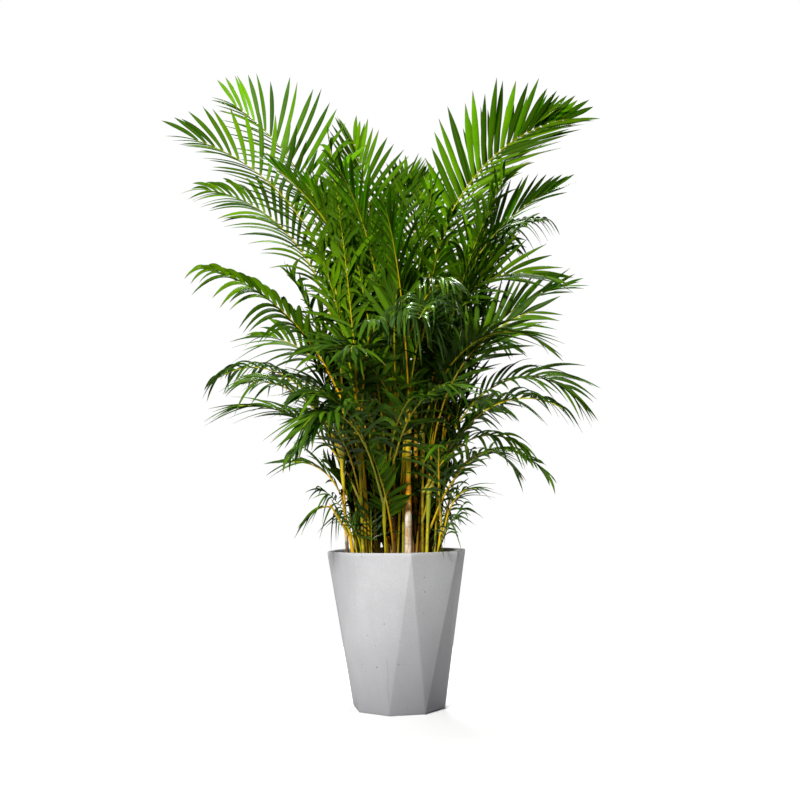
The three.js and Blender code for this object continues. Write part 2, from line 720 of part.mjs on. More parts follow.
canes.forEach((geometry, i) => {
  if (CANES[i].young) {
    const own = blades.filter((_, k) => fronds[k].cane === i);
    addPiece(palm, caneName(i), joinTogether(geometry, own), GREEN, 0.5);
  } else {
    addPiece(palm, caneName(i), geometry, OCHRE, 0.55);
  }
});
blades.forEach((geometry, i) => {
  if (!CANES[fronds[i].cane].young) {
    addPiece(palm, `frond_${String(i + 1).padStart(2, '0')}`, geometry, GREEN, 0.5);
  }
});

export default palm;
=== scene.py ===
import heapq
import math

import bmesh
import bpy
import numpy as np
from mathutils import Matrix, Vector, noise


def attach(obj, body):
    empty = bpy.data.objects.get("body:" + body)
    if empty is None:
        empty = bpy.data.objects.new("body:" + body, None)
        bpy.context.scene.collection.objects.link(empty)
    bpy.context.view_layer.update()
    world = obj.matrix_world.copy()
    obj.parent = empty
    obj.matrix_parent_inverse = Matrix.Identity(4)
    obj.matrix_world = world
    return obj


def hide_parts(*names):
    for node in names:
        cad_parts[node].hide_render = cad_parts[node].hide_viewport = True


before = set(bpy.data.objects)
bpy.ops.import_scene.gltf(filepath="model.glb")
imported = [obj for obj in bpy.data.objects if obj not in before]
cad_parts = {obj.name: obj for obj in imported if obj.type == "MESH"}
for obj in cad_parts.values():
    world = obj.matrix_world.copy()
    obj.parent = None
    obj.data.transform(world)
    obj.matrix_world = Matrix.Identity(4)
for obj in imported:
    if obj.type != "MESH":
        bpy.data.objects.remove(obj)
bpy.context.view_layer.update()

# ---------------------------------------------------------------- studio
# The plant stands on a plain pale floor in a white room. A broad soft light stands to the left of
# the front, a second one hangs behind the fronds and shines down through them.


def add_node(tree, kind, feeds=None, **settings):
    node = tree.nodes.new(kind)
    for name, value in settings.items():
        setattr(node, name, value)
    for place, value in (feeds or {}).items():
        if isinstance(value, bpy.types.NodeSocket):
            tree.links.new(value, node.inputs[place])
        else:
            node.inputs[place].default_value = value
    return node


def blank_material(name):
    """A material without nodes, its tree, and the place on the piece that its patterns follow."""
    material = bpy.data.materials.new(name)
    material.use_nodes = True
    tree = material.node_tree
    tree.nodes.clear()
    return material, tree, add_node(tree, "ShaderNodeTexCoord").outputs["Object"]


def finish_material(tree, surface):
    add_node(tree, "ShaderNodeOutputMaterial", {"Surface": surface})


def noise_value(tree, place, scale, detail=3.0, roughness=0.5):
    feeds = {"Vector": place, "Scale": scale, "Detail": detail, "Roughness": roughness}
    return add_node(tree, "ShaderNodeTexNoise", feeds).outputs[0]


def remap(tree, value, low, high, to_low=0.0, to_high=1.0):
    feeds = {"Value": value, "From Min": low, "From Max": high, "To Min": to_low, "To Max": to_high}
    return add_node(tree, "ShaderNodeMapRange", feeds, clamp=True).outputs[0]


def mix_colour(tree, share, first, second):
    return add_node(tree, "ShaderNodeMix", {0: share, 6: first, 7: second}, data_type="RGBA").outputs[2]


def add_piece(name, mesh):
    piece = bpy.data.objects.new(name, mesh)
    bpy.context.scene.collection.objects.link(piece)
    return piece


FLOOR_REACH = 1.45
FLOOR_SIDES = 96
FLOOR_GAP = 0.0006
floor_mesh = bpy.data.meshes.new("studio_floor")
turns = [2 * math.pi * i / FLOOR_SIDES for i in range(FLOOR_SIDES)]
edge = [(FLOOR_REACH * math.cos(turn), FLOOR_REACH * math.sin(turn), -FLOOR_GAP) for turn in turns]
floor_mesh.from_pydata(edge, [], [range(FLOOR_SIDES)])
floor = add_piece("studio_floor", floor_mesh)
floor_material, tree, spot = blank_material("pale floor")
patchy = remap(tree, noise_value(tree, spot, 2.0), 0.3, 0.7)
floor_colour = mix_colour(tree, patchy, (0.88, 0.88, 0.875, 1), (0.90, 0.90, 0.895, 1))
shader = add_node(tree, "ShaderNodeBsdfPrincipled", {
    "Base Color": floor_colour, "Roughness": 0.9, "Specular IOR Level": 0.1})
finish_material(tree, shader.outputs[0])
floor_mesh.materials.append(floor_material)

ROOM_LIGHT = 0.07
world = bpy.data.worlds.new("white room")
bpy.context.scene.world = world
world.use_nodes = True
tree = world.node_tree
tree.nodes.clear()
seen = add_node(tree, "ShaderNodeLightPath").outputs["Is Camera Ray"]
strength = remap(tree, seen, 0.0, 1.0, ROOM_LIGHT, 1.0)
background = add_node(tree, "ShaderNodeBackground", {"Color": (1, 1, 1, 1), "Strength": strength})
add_node(tree, "ShaderNodeOutputWorld", {"Surface": background.outputs[0]})
bpy.context.scene.view_settings.view_transform = "Standard"


def soft_light(name, place, target, size, watts):
    lamp = bpy.data.lights.new(name, "AREA")
    lamp.shape = "DISK"
    lamp.size = size
    lamp.energy = watts
    light = bpy.data.objects.new(name, lamp)
    bpy.context.scene.collection.objects.link(light)
    light.location = place
    light.rotation_euler = (Vector(target) - Vector(place)).to_track_quat("-Z", "Y").to_euler()


soft_light("light_left", (-2.2, -4.1, 3.2), (0, 0, 1.0), 0.9, 500)
soft_light("light_behind", (0.3, 2.0, 4.6), (0, 0, 1.4), 1.3, 400)

# The photograph's viewpoint: 3.5 m in front, a little above the rim, looking slightly up
CAMERA_PLACE = Vector((0.015, -3.5, 0.688))
CAMERA_PITCH = math.radians(5.77)
CAMERA_ROLL = math.radians(-0.6)
CAMERA_LENS = 45.45
SENSOR_WIDTH = 36
forward = Vector((0, math.cos(CAMERA_PITCH), math.sin(CAMERA_PITCH)))
upward = Vector((0, -math.sin(CAMERA_PITCH), math.cos(CAMERA_PITCH)))
level = Vector((1, 0, 0))
camera_right = level * math.cos(CAMERA_ROLL) + upward * math.sin(CAMERA_ROLL)
camera_up = upward * math.cos(CAMERA_ROLL) - level * math.sin(CAMERA_ROLL)
camera = bpy.data.objects.new("camera", bpy.data.cameras.new("camera"))
camera.data.lens = CAMERA_LENS
camera.data.sensor_width = SENSOR_WIDTH
camera.matrix_world = Matrix.Translation(CAMERA_PLACE) @ Matrix(
    (camera_right, camera_up, -forward)).transposed().to_4x4()
bpy.context.scene.collection.objects.link(camera)
bpy.context.scene.camera = camera

# ---------------------------------------------------------------- planter
# Cast concrete, matt and light grey. Its rim runs down in sixteen nearly flat facets to an
# eight-sided foot, and the mould left softened creases, small pores and a hairline crack.
POT_HEIGHT = 0.525
RIM_RADIUS = 0.240
RIM_WALL = 0.026
RIM_SOFTENING = 0.0035
RIM_BAND = 0.012
RIM_STEPS = (0.35, 0.7)
# A bow of 0 is a straight side from corner to corner, a bow of 1 is a round one
RIM_BOW = 0.36
FACET_BOW = 0.2
FOOT_RADIUS = 0.158
FOOT_CORNERS = 8
FOOT_TURN = math.radians(-11.4)
# The foot's edge is rounded by this inset, over this height
FOOT_INSET = 0.0022
FOOT_ROUNDING = 0.006
FLOOR_RADIUS = 0.124
FLOOR_THICKNESS = 0.025
DRAIN_HOLES = 4
DRAIN_RADIUS = 0.006
DRAIN_CIRCLE = 0.065
DRAIN_SIDES = 20
ARC_STEPS = 26
SIDE_STEPS = 18
WALL_RINGS = 28
LOWEST_WALL_RING = 0.02
CAVITY_RINGS = 14
FACET_TURN = 2 * math.pi / FOOT_CORNERS


def calculate(tree, operation, *values):
    return add_node(tree, "ShaderNodeMath", dict(enumerate(values)), operation=operation).outputs[0]


def times(tree, first, second):
    return calculate(tree, "MULTIPLY", first, second)


def bumpy_shader(tree, colour, rough, height, strength, depth, more=None):
    """A shader with fine relief, and any further sockets that it sets."""
    bump = add_node(tree, "ShaderNodeBump", {"Height": height, "Strength": strength, "Distance": depth})
    feeds = {"Base Color": colour, "Roughness": rough, "Normal": bump.outputs[0], **(more or {})}
    return add_node(tree, "ShaderNodeBsdfPrincipled", feeds).outputs[0]


def at_turn(turn, radius, z):
    return Vector((radius * math.sin(turn), -radius * math.cos(turn), z))


def bowed(turn, offset, bow, z):
    """Point of a bowed side, at an offset from the middle of that side."""
    straight = math.cos(FACET_TURN / 2) / math.cos(offset)
    return at_turn(turn + offset, RIM_RADIUS * (straight + (1 - straight) * bow), z)


def facet_rows():
    """Foot, top of the facet and rim edge of each line that runs up the outside of the planter."""
    rows = []
    for k in range(FOOT_CORNERS):
        turn = FOOT_TURN + k * FACET_TURN
        corner = at_turn(turn, FOOT_RADIUS, 0)
        following = at_turn(turn + FACET_TURN, FOOT_RADIUS, 0)
        places = [(corner, FACET_TURN * (i / ARC_STEPS - 0.5)) for i in range(ARC_STEPS)]
        places += [(corner.lerp(following, i / SIDE_STEPS), FACET_TURN / 2) for i in range(SIDE_STEPS)]
        for foot, offset in places:
            rows.append((foot, bowed(turn, offset, FACET_BOW, POT_HEIGHT - RIM_BAND),
                         bowed(turn, offset, RIM_BOW, POT_HEIGHT)))
    return rows


def cavity_radius(z):
    rise = (z - FLOOR_THICKNESS) / (POT_HEIGHT - FLOOR_THICKNESS)
    return FLOOR_RADIUS + (RIM_RADIUS - RIM_WALL - FLOOR_RADIUS) * rise


def soften(ring, passes):
    """Rounds the creases off a ring of points, and keeps its size."""
    for _ in range(passes):
        count = len(ring)
        ring = [(ring[i - 1] + ring[i] * 2 + ring[(i + 1) % count]) / 4 for i in range(count)]
    return ring


def planter_mesh():
    rows = facet_rows()
    edge_turns = [Vector((edge.x, edge.y, 0)).normalized() for _, _, edge in rows]
    rings = []
    band_foot = POT_HEIGHT - RIM_BAND
    climb = band_foot - LOWEST_WALL_RING
    wall = [LOWEST_WALL_RING + climb * i / WALL_RINGS for i in range(WALL_RINGS + 1)]
    for z in [0.0, FOOT_ROUNDING / 4, FOOT_ROUNDING] + wall:
        inset = FOOT_INSET * max(0.0, 1 - z / FOOT_ROUNDING) ** 2
        ring = soften([foot.lerp(top, z / band_foot) for foot, top, _ in rows], 1)
        rings.append([p - Vector((p.x, p.y, 0)).normalized() * inset for p in ring])
    for share in RIM_STEPS:
        rings.append(soften([top.lerp(edge, share) for _, top, edge in rows], 1))
    for angle in (30, 60, 90):
        curve = math.radians(angle)
        inset = RIM_SOFTENING * (1 - math.cos(curve))
        drop = Vector((0, 0, RIM_SOFTENING * (1 - math.sin(curve))))
        ring = soften([edge for _, _, edge in rows], 1)
        rings.append([edge - drop - way * inset for edge, way in zip(ring, edge_turns)])
    for angle in (90, 60, 30, 0):
        curve = math.radians(angle)
        radius = RIM_RADIUS - RIM_WALL + RIM_SOFTENING * (1 - math.cos(curve))
        z = POT_HEIGHT - RIM_SOFTENING * (1 - math.sin(curve))
        rings.append([way * radius + Vector((0, 0, z)) for way in edge_turns])
    cavity_top = POT_HEIGHT - RIM_SOFTENING
    for i in range(1, CAVITY_RINGS + 1):
        z = cavity_top - (cavity_top - FLOOR_THICKNESS) * i / CAVITY_RINGS
        rings.append([way * cavity_radius(z) + Vector((0, 0, z)) for way in edge_turns])
    body = bmesh.new()
    placed = [[body.verts.new(p) for p in ring] for ring in rings]
    count = len(rows)
    for lower, upper in zip(placed, placed[1:]):
        for i in range(count):
            following = (i + 1) % count
            body.faces.new((lower[i], lower[following], upper[following], upper[i]))
    for ring in (list(reversed(placed[0])), placed[-1]):
        body.faces.new(ring)
    bmesh.ops.remove_doubles(body, verts=body.verts, dist=1e-6)
    bmesh.ops.dissolve_degenerate(body, edges=body.edges, dist=1e-6)
    mesh = bpy.data.meshes.new("planter")
    body.to_mesh(mesh)
    body.free()
    return mesh


def drain_cutters():
    cutters = bmesh.new()
    for i in range(DRAIN_HOLES):
        place = at_turn(2 * math.pi / DRAIN_HOLES * i, DRAIN_CIRCLE, FLOOR_THICKNESS / 2)
        bmesh.ops.create_cone(
            cutters, cap_ends=True, segments=DRAIN_SIDES, radius1=DRAIN_RADIUS, radius2=DRAIN_RADIUS,
            depth=3 * FLOOR_THICKNESS, matrix=Matrix.Translation(place))
    mesh = bpy.data.meshes.new("drains")
    cutters.to_mesh(mesh)
    cutters.free()
    return add_piece("drains", mesh)


def plain_copy(piece):
    """The piece's mesh as its modifiers leave it."""
    bpy.context.view_layer.update()
    return bpy.data.meshes.new_from_object(piece.evaluated_get(bpy.context.evaluated_depsgraph_get()))


planter = add_piece("planter", planter_mesh())
drains = drain_cutters()
cut = planter.modifiers.new("drains", "BOOLEAN")
cut.object = drains
cut.operation = "DIFFERENCE"
cut.solver = "EXACT"
cut_mesh = plain_copy(planter)
planter.modifiers.clear()
planter.data = cut_mesh
bpy.data.objects.remove(drains)
planter.data.shade_smooth()
planter.data.set_sharp_from_angle(angle=math.radians(30))

concrete, tree, spot = blank_material("cast concrete")
axes = add_node(tree, "ShaderNodeSeparateXYZ", {"Vector": spot}).outputs
clouds = remap(tree, noise_value(tree, spot, 7.0, 5.0, 0.6), 0.3, 0.7)
grit = noise_value(tree, spot, 240.0, 4.0, 0.65)
# Trowel-wide streaks that run down the walls
stretched = add_node(tree, "ShaderNodeMapping", {"Vector": spot, "Scale": (14.0, 14.0, 2.2)}).outputs[0]
streaks = remap(tree, noise_value(tree, stretched, 1.0, 4.0, 0.6), 0.35, 0.7)
grey = mix_colour(tree, clouds, (0.318, 0.317, 0.324, 1), (0.378, 0.376, 0.384, 1))
grey = mix_colour(tree, times(tree, streaks, 0.35), grey, (0.262, 0.260, 0.265, 1))
grey = mix_colour(tree, remap(tree, grit, 0.35, 0.7, 0.0, 0.7), grey, (0.42, 0.42, 0.425, 1))
# Air bubbles left in the cast
bubbles = add_node(tree, "ShaderNodeTexVoronoi", {"Vector": spot, "Scale": 46.0}).outputs
bubble_size = remap(tree, noise_value(tree, spot, 21.0, 2.0), 0.50, 0.8, 0.0, 0.18)
pores = remap(tree, calculate(tree, "SUBTRACT", bubbles["Distance"], bubble_size), 0.0, 0.03, 1.0, 0.0)
pores = times(tree, pores, remap(tree, bubble_size, 0.0, 0.02))
grey = mix_colour(tree, times(tree, pores, 0.85), grey, (0.09, 0.09, 0.09, 1))
# Hairline crack that climbs from near the front corner of the foot
CRACK_FOOT_X = -0.030
CRACK_LEAN = -0.028
CRACK_LOW = 0.038
CRACK_HIGH = 0.205
sway = calculate(tree, "SUBTRACT", noise_value(tree, spot, 26.0, 4.0), 0.5)
sway = times(tree, sway, 0.012)
crack_x = calculate(tree, "MULTIPLY_ADD", axes[2], CRACK_LEAN, CRACK_FOOT_X)
offset = calculate(tree, "SUBTRACT", axes[0], calculate(tree, "ADD", crack_x, sway))
thin = remap(tree, calculate(tree, "ABSOLUTE", offset), 0.0002, 0.0009, 1.0, 0.0)
rise = times(tree, remap(tree, axes[2], CRACK_LOW, CRACK_LOW + 0.01),
             remap(tree, axes[2], CRACK_HIGH - 0.05, CRACK_HIGH, 1, 0))
front = remap(tree, axes[1], -0.12, -0.11, 1.0, 0.0)
crack = times(tree, times(tree, thin, rise), front)
grey = mix_colour(tree, times(tree, crack, 0.8), grey, (0.12, 0.115, 0.11, 1))
# The rim and the foot are rubbed paler
low_edge = remap(tree, axes[2], 0.0, 0.005, 1, 0)
rubbed = calculate(tree, "MAXIMUM", remap(tree, axes[2], 0.513, 0.522), low_edge)
grey = mix_colour(tree, times(tree, rubbed, 0.40), grey, (0.50, 0.498, 0.495, 1))
# The lower walls are painted darker as shade, more on the right, and the left side is painted a little greyer
# as shade
lower = remap(tree, axes[2], 0.0, 0.42, 0.95, 0.0)
painted_shade = times(tree, lower, remap(tree, axes[0], -0.05, 0.10, 0.72, 1.0))
painted_shade = calculate(tree, "MAXIMUM", painted_shade, remap(tree, axes[0], -0.21, -0.10, 0.45, 0.0))
grey = mix_colour(tree, painted_shade, grey, (0.126, 0.125, 0.134, 1))
height = calculate(tree, "MULTIPLY_ADD", grit, 0.35, times(tree, clouds, 0.3))
height = calculate(tree, "SUBTRACT", height, calculate(tree, "ADD", pores, crack))
rough = remap(tree, grit, 0.3, 0.7, 0.72, 0.92)
finish_material(tree, bumpy_shader(tree, grey, rough, height, 0.5, 0.0012))
planter.data.materials.clear()
planter.data.materials.append(concrete)
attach(planter, "root")
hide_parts("pot")

# ---------------------------------------------------------------- soil
# Dark potting soil, filled in to 43 mm below the rim. It lies loose and crumbly, a little higher in
# the middle, round the stems.
SOIL_EDGE = 0.482
SOIL_RISE = 0.010
SOIL_GAP = 0.0014
SOIL_LIFT = 0.0004
SOIL_RINGS = 44
SOIL_STEPS = 132


def soil_height(x, y):
    share = min(1.0, math.hypot(x, y) / cavity_radius(SOIL_EDGE))
    crumbs = noise.noise(Vector((x * 90, y * 90, 0))) * 0.0022
    lumps = noise.noise(Vector((x * 30, y * 30, 4))) * 0.004
    return SOIL_EDGE + SOIL_RISE * (1 - share * share) + (crumbs + lumps)


body = bmesh.new()
bottom_z = FLOOR_THICKNESS + SOIL_LIFT
low = [body.verts.new(at_turn(2 * math.pi * i / SOIL_STEPS, cavity_radius(bottom_z) - SOIL_GAP, bottom_z))
       for i in range(SOIL_STEPS)]
body.faces.new(list(reversed(low)))
for k in range(SOIL_RINGS):
    radius = (cavity_radius(SOIL_EDGE) - SOIL_GAP) * (1 - k / SOIL_RINGS)
    ring = []
    for i in range(SOIL_STEPS):
        place = at_turn(2 * math.pi * i / SOIL_STEPS, radius, 0)
        ring.append(body.verts.new((place.x, place.y, soil_height(place.x, place.y))))
    for i in range(SOIL_STEPS):
        following = (i + 1) % SOIL_STEPS
        body.faces.new((low[i], low[following], ring[following], ring[i]))
    low = ring
middle = body.verts.new((0, 0, soil_height(0, 0)))
for i in range(SOIL_STEPS):
    body.faces.new((low[i], low[(i + 1) % SOIL_STEPS], middle))
soil_mesh = bpy.data.meshes.new("soil_bed")
body.to_mesh(soil_mesh)
body.free()
soil_mesh.shade_smooth()
soil = add_piece("soil_bed", soil_mesh)

earth, tree, spot = blank_material("potting soil")
coarse = noise_value(tree, spot, 60.0, 6.0, 0.7)
fine = noise_value(tree, spot, 420.0, 4.0, 0.7)
lumpy = remap(tree, coarse, 0.35, 0.7)
brown = mix_colour(tree, lumpy, (0.012, 0.008, 0.005, 1), (0.05, 0.032, 0.018, 1))
brown = mix_colour(tree, remap(tree, fine, 0.62, 0.75, 0.0, 0.8), brown, (0.11, 0.07, 0.035, 1))
height = calculate(tree, "MULTIPLY_ADD", fine, 0.4, coarse)
rough = remap(tree, coarse, 0.3, 0.7, 0.82, 0.98)
finish_material(tree, bumpy_shader(tree, brown, rough, height, 0.8, 0.003))
soil.data.materials.append(earth)
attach(soil, "root")
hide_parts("soil")

# ---------------------------------------------------------------- canes
# The plant's ringed bare stems. Old growth is pale grey at the soil and golden higher up, and the
# top 13 cm are wrapped in the green sheaths of the fronds.
RING_SPACING = 0.042
RING_HEIGHT = 0.0011
CANE_SIDES = 20


def joined_points(node_name):
    """The corners of a CAD node and each one's neighbours, with its loose triangles joined."""
    body = bmesh.new()
    body.from_mesh(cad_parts[node_name].data)
    bmesh.ops.remove_doubles(body, verts=body.verts, dist=2e-5)
    body.verts.index_update()
    points = np.array([v.co[:] for v in body.verts])
    neighbours = [[edge.other_vert(v).index for edge in v.link_edges] for v in body.verts]
    body.free()
    return points, neighbours


WIDEST_STEM = 0.02
RING_GAP = 0.002


def level_rings(points):
    """Centre and radius of each level ring of a stem, from the soil up."""
    heights = np.round(points[:, 2], 5)
    rings = []
    for z in np.unique(heights):
        ring = points[np.abs(heights - z) < 1.5e-5]
        if len(ring) >= 6:
            centre = ring.mean(axis=0)
            radius = np.linalg.norm(ring - centre, axis=1).mean()
            if radius < WIDEST_STEM and (not rings or z - rings[-1][0][2] > RING_GAP):
                rings.append((centre, radius))
    return rings


def tree_input(tree, name, kind, value=None):
    socket = tree.interface.new_socket(name, in_out="INPUT", socket_type=kind)
    if value is not None:
        socket.default_value = value


def new_tree(name):
    tree = bpy.data.node_groups.new(name, "GeometryNodeTree")
    tree.interface.new_socket("Geometry", in_out="OUTPUT", socket_type="NodeSocketGeometry")
    tree_input(tree, "Geometry", "NodeSocketGeometry")
    return tree


def stored(tree, geometry, name, value):
    feeds = {"Geometry": geometry, "Name": name, "Value": value}
    node = add_node(tree, "GeometryNodeStoreNamedAttribute", feeds, data_type="FLOAT", domain="POINT")
    return node.outputs["Geometry"]


def named(tree, name, kind="FLOAT"):
    node = add_node(tree, "GeometryNodeInputNamedAttribute", {"Name": name}, data_type=kind)
    return node.outputs["Attribute"]


def run_tree(piece, tree, values):
    """Runs a geometry tree on a piece and keeps the result as its plain mesh."""
    modifier = piece.modifiers.new(tree.name, "NODES")
    modifier.node_group = tree
    for item in tree.interface.items_tree:
        if item.item_type == "SOCKET" and item.in_out == "INPUT" and item.name in values:
            modifier[item.identifier] = values[item.name]
    mesh = plain_copy(piece)
    piece.modifiers.remove(modifier)
    lines = piece.data
    piece.data = mesh
    bpy.data.meshes.remove(lines)


def line_mesh(name, points, edges, numbers):
    mesh = bpy.data.meshes.new(name)
    mesh.from_pydata([tuple(p) for p in points], edges, [])
    for label, (kind, values) in numbers.items():
        attribute = mesh.attributes.new(label, kind, "POINT")
        flat = np.asarray(values, dtype=bool if kind == "BOOLEAN" else np.float32).ravel()
        attribute.data.foreach_set("vector" if kind == "FLOAT_VECTOR" else "value", flat)
    return mesh


def cane_tree():
    tree = new_tree("Palm cane")
    tree_input(tree, "Step", "NodeSocketFloat", 0.004)
    tree_input(tree, "Ring spacing", "NodeSocketFloat", RING_SPACING)
    tree_input(tree, "Ring height", "NodeSocketFloat", RING_HEIGHT)
    tree_input(tree, "Sides", "NodeSocketInt", CANE_SIDES)
    tree_input(tree, "Cane material", "NodeSocketMaterial")
    given = add_node(tree, "NodeGroupInput").outputs
    curve = add_node(tree, "GeometryNodeMeshToCurve", {"Mesh": given["Geometry"]}).outputs[0]
    curve = add_node(tree, "GeometryNodeResampleCurve", {
        "Curve": curve, "Length": given["Step"]}, mode="LENGTH").outputs[0]
    rise = named(tree, "rise")
    place = calculate(tree, "DIVIDE", rise, given["Ring spacing"])
    # Scars stand closer together near the soil
    place = calculate(tree, "POWER", calculate(tree, "MAXIMUM", place, 0.0), 0.85)
    nearness = calculate(tree, "ABSOLUTE", calculate(tree, "SUBTRACT", calculate(tree, "FRACT", place), 0.5))
    scar = remap(tree, nearness, 0.0, 0.07, 1.0, 0.0)
    scar = times(tree, scar, named(tree, "bare"))
    curve = stored(tree, curve, "scar", scar)
    thick = calculate(tree, "MULTIPLY_ADD", scar, given["Ring height"], named(tree, "thick"))
    profile = add_node(tree, "GeometryNodeCurvePrimitiveCircle", {
        "Resolution": given["Sides"], "Radius": 1.0}, mode="RADIUS").outputs["Curve"]
    tube = add_node(tree, "GeometryNodeCurveToMesh", {
        "Curve": curve, "Profile Curve": profile, "Scale": thick, "Fill Caps": True}).outputs[0]
    tube = add_node(tree, "GeometryNodeRealizeInstances", {"Geometry": tube}).outputs[0]
    tube = add_node(tree, "GeometryNodeSetMaterial", {
        "Geometry": tube, "Material": given["Cane material"]}).outputs[0]
    add_node(tree, "NodeGroupOutput", {"Geometry": tube})
    return tree


def value_of(tree, name):
    return add_node(tree, "ShaderNodeAttribute", attribute_name=name).outputs["Fac"]


def grain_group():
    """Fibrous grain: noise with its own fineness on each axis, so that it runs lengthwise."""
    group = bpy.data.node_groups.new("Lengthwise grain", "ShaderNodeTree")
    tree_input(group, "Place", "NodeSocketVector")
    tree_input(group, "Fineness", "NodeSocketVector")
    tree_input(group, "Roughness", "NodeSocketFloat", 0.6)
    group.interface.new_socket("Grain", in_out="OUTPUT", socket_type="NodeSocketFloat")
    given = add_node(group, "NodeGroupInput").outputs
    stretched = add_node(group, "ShaderNodeMapping", {"Vector": given["Place"], "Scale": given["Fineness"]})
    grain = noise_value(group, stretched.outputs[0], 1.0, 3.0, given["Roughness"])
    add_node(group, "NodeGroupOutput", {"Grain": grain})
    return group


grain_nodes = grain_group()


def lengthwise_grain(tree, place, fineness, roughness=0.6):
    feeds = {"Place": place, "Fineness": fineness, "Roughness": roughness}
    return add_node(tree, "ShaderNodeGroup", feeds, node_tree=grain_nodes).outputs["Grain"]


cane_finish, tree, spot = blank_material("palm cane")
rise, bare, scar, tone, pale_to, husk_to = (
    value_of(tree, name) for name in ("rise", "bare", "scar", "tone", "pale_to", "husk_to"))
blotch = noise_value(tree, spot, 26.0, 4.0, 0.6)
grain = lengthwise_grain(tree, spot, (420.0, 420.0, 14.0))
golden = mix_colour(tree, tone, (0.38, 0.40, 0.008, 1), (0.82, 0.33, 0.005, 1))
gilded = remap(tree, calculate(tree, "MULTIPLY_ADD", tone, -0.22, rise), 0.10, 0.32, 0.0, 0.8)
golden = mix_colour(tree, gilded, golden, (0.66, 0.50, 0.008, 1))
golden = mix_colour(tree, remap(tree, blotch, 0.52, 0.68, 0.0, 0.7), golden, (0.20, 0.075, 0.010, 1))
green = mix_colour(tree, blotch, (0.10, 0.16, 0.008, 1), (0.34, 0.36, 0.02, 1))
green = mix_colour(tree, times(tree, tone, 0.85), green, (0.68, 0.46, 0.008, 1))
stem = mix_colour(tree, remap(tree, bare, 0.15, 0.85, 1.0, 0.0), golden, green)
# Waxy white bloom on the foot, worn through in specks
dusty = remap(tree, blotch, 0.35, 0.6)
pale = mix_colour(tree, dusty, (0.78, 0.72, 0.60, 1), (0.42, 0.33, 0.20, 1))
worn = remap(tree, lengthwise_grain(tree, spot, (150.0, 150.0, 22.0)), 0.5, 0.62, 0.0, 1.0)
pale = mix_colour(tree, worn, pale, (0.50, 0.19, 0.02, 1))
wander = calculate(tree, "MULTIPLY_ADD", blotch, 0.16, rise)
pale_share = remap(tree, calculate(tree, "SUBTRACT", wander, pale_to), 0.06, 0.11, 1.0, 0.0)
stem = mix_colour(tree, pale_share, stem, pale)
# Brown fibres that the shed sheaths left behind
fibres = calculate(tree, "MULTIPLY_ADD", calculate(tree, "SUBTRACT", grain, 0.5), 0.30, rise)
husky = remap(tree, calculate(tree, "SUBTRACT", fibres, husk_to), -0.02, 0.05, 0.95, 0.0)
husky = times(tree, husky, remap(tree, husk_to, 0.0, 0.02))
split = remap(tree, grain, 0.3, 0.7)
bark = mix_colour(tree, split, (0.012, 0.006, 0.003, 1), (0.26, 0.10, 0.018, 1))
stem = mix_colour(tree, husky, stem, bark)
stem = mix_colour(tree, times(tree, scar, 0.7), stem, (0.13, 0.075, 0.03, 1))
stem = mix_colour(tree, remap(tree, grain, 0.55, 0.8, 0.0, 0.35), stem, (0.16, 0.09, 0.03, 1))
height = calculate(tree, "MULTIPLY_ADD", grain, 0.5, blotch)
rough = remap(tree, blotch, 0.3, 0.7, 0.38, 0.62)
finish_material(tree, bumpy_shader(tree, stem, rough, height, 0.45, 0.0012, {"Specular IOR Level": 0.3}))

# How golden each cane is, and how far its white foot and its brown fibres reach above the soil
CANE_LOOKS = {
    "cane_01": (0.75, 0.09, 0), "cane_02": (0.10, 0, 0), "cane_03": (0.25, 0, 0.10),
    "cane_04": (0.55, 0, 0.22), "cane_06": (0.60, 0.10, 0), "cane_07": (0.70, 0, 0.26),
    "cane_08": (1.00, 0.17, 0), "cane_09": (0.95, 0.05, 0.17), "cane_10": (0.40, 0, 0.12),
    "cane_11": (0.10, 0, 0), "cane_12": (0.90, 0, 0.10), "cane_13": (0.70, 0, 0.15),
    "cane_17": (0.30, 0, 0),
}
CROWN_LENGTH = 0.130
OLDEST_CANE = "cane_08"
# How thick the other canes are beside the part's own
SLIM_SHARE = 0.80
# Every cane loses this share on the way up, and this much more where it closes under its crown
CLIMB_LOSS = 0.22
CLIMB_HEIGHT = 0.55
CROWN_LOSS = 0.16
CROWN_TAPER_START = 0.24
CROWN_TAPER_LENGTH = 0.14
# The rounded top: how far each ring lies under it, and its share of the radius
TOP_ROUNDING = ((0.016, 0.92), (0.007, 0.85), (0.0, 0.70))
CANE_STEP = 0.02


def even_points(centres, radii, step):
    """The same line with its points evenly spaced, and a radius at each."""
    line = np.array(centres)
    gone = np.concatenate(([0.0], np.cumsum(np.linalg.norm(np.diff(line, axis=0), axis=1))))
    places = np.linspace(0, gone[-1], max(2, round(gone[-1] / step) + 1))
    middle = np.stack([np.interp(places, gone, line[:, k]) for k in range(3)], axis=1)
    return list(middle), list(np.interp(places, gone, radii))


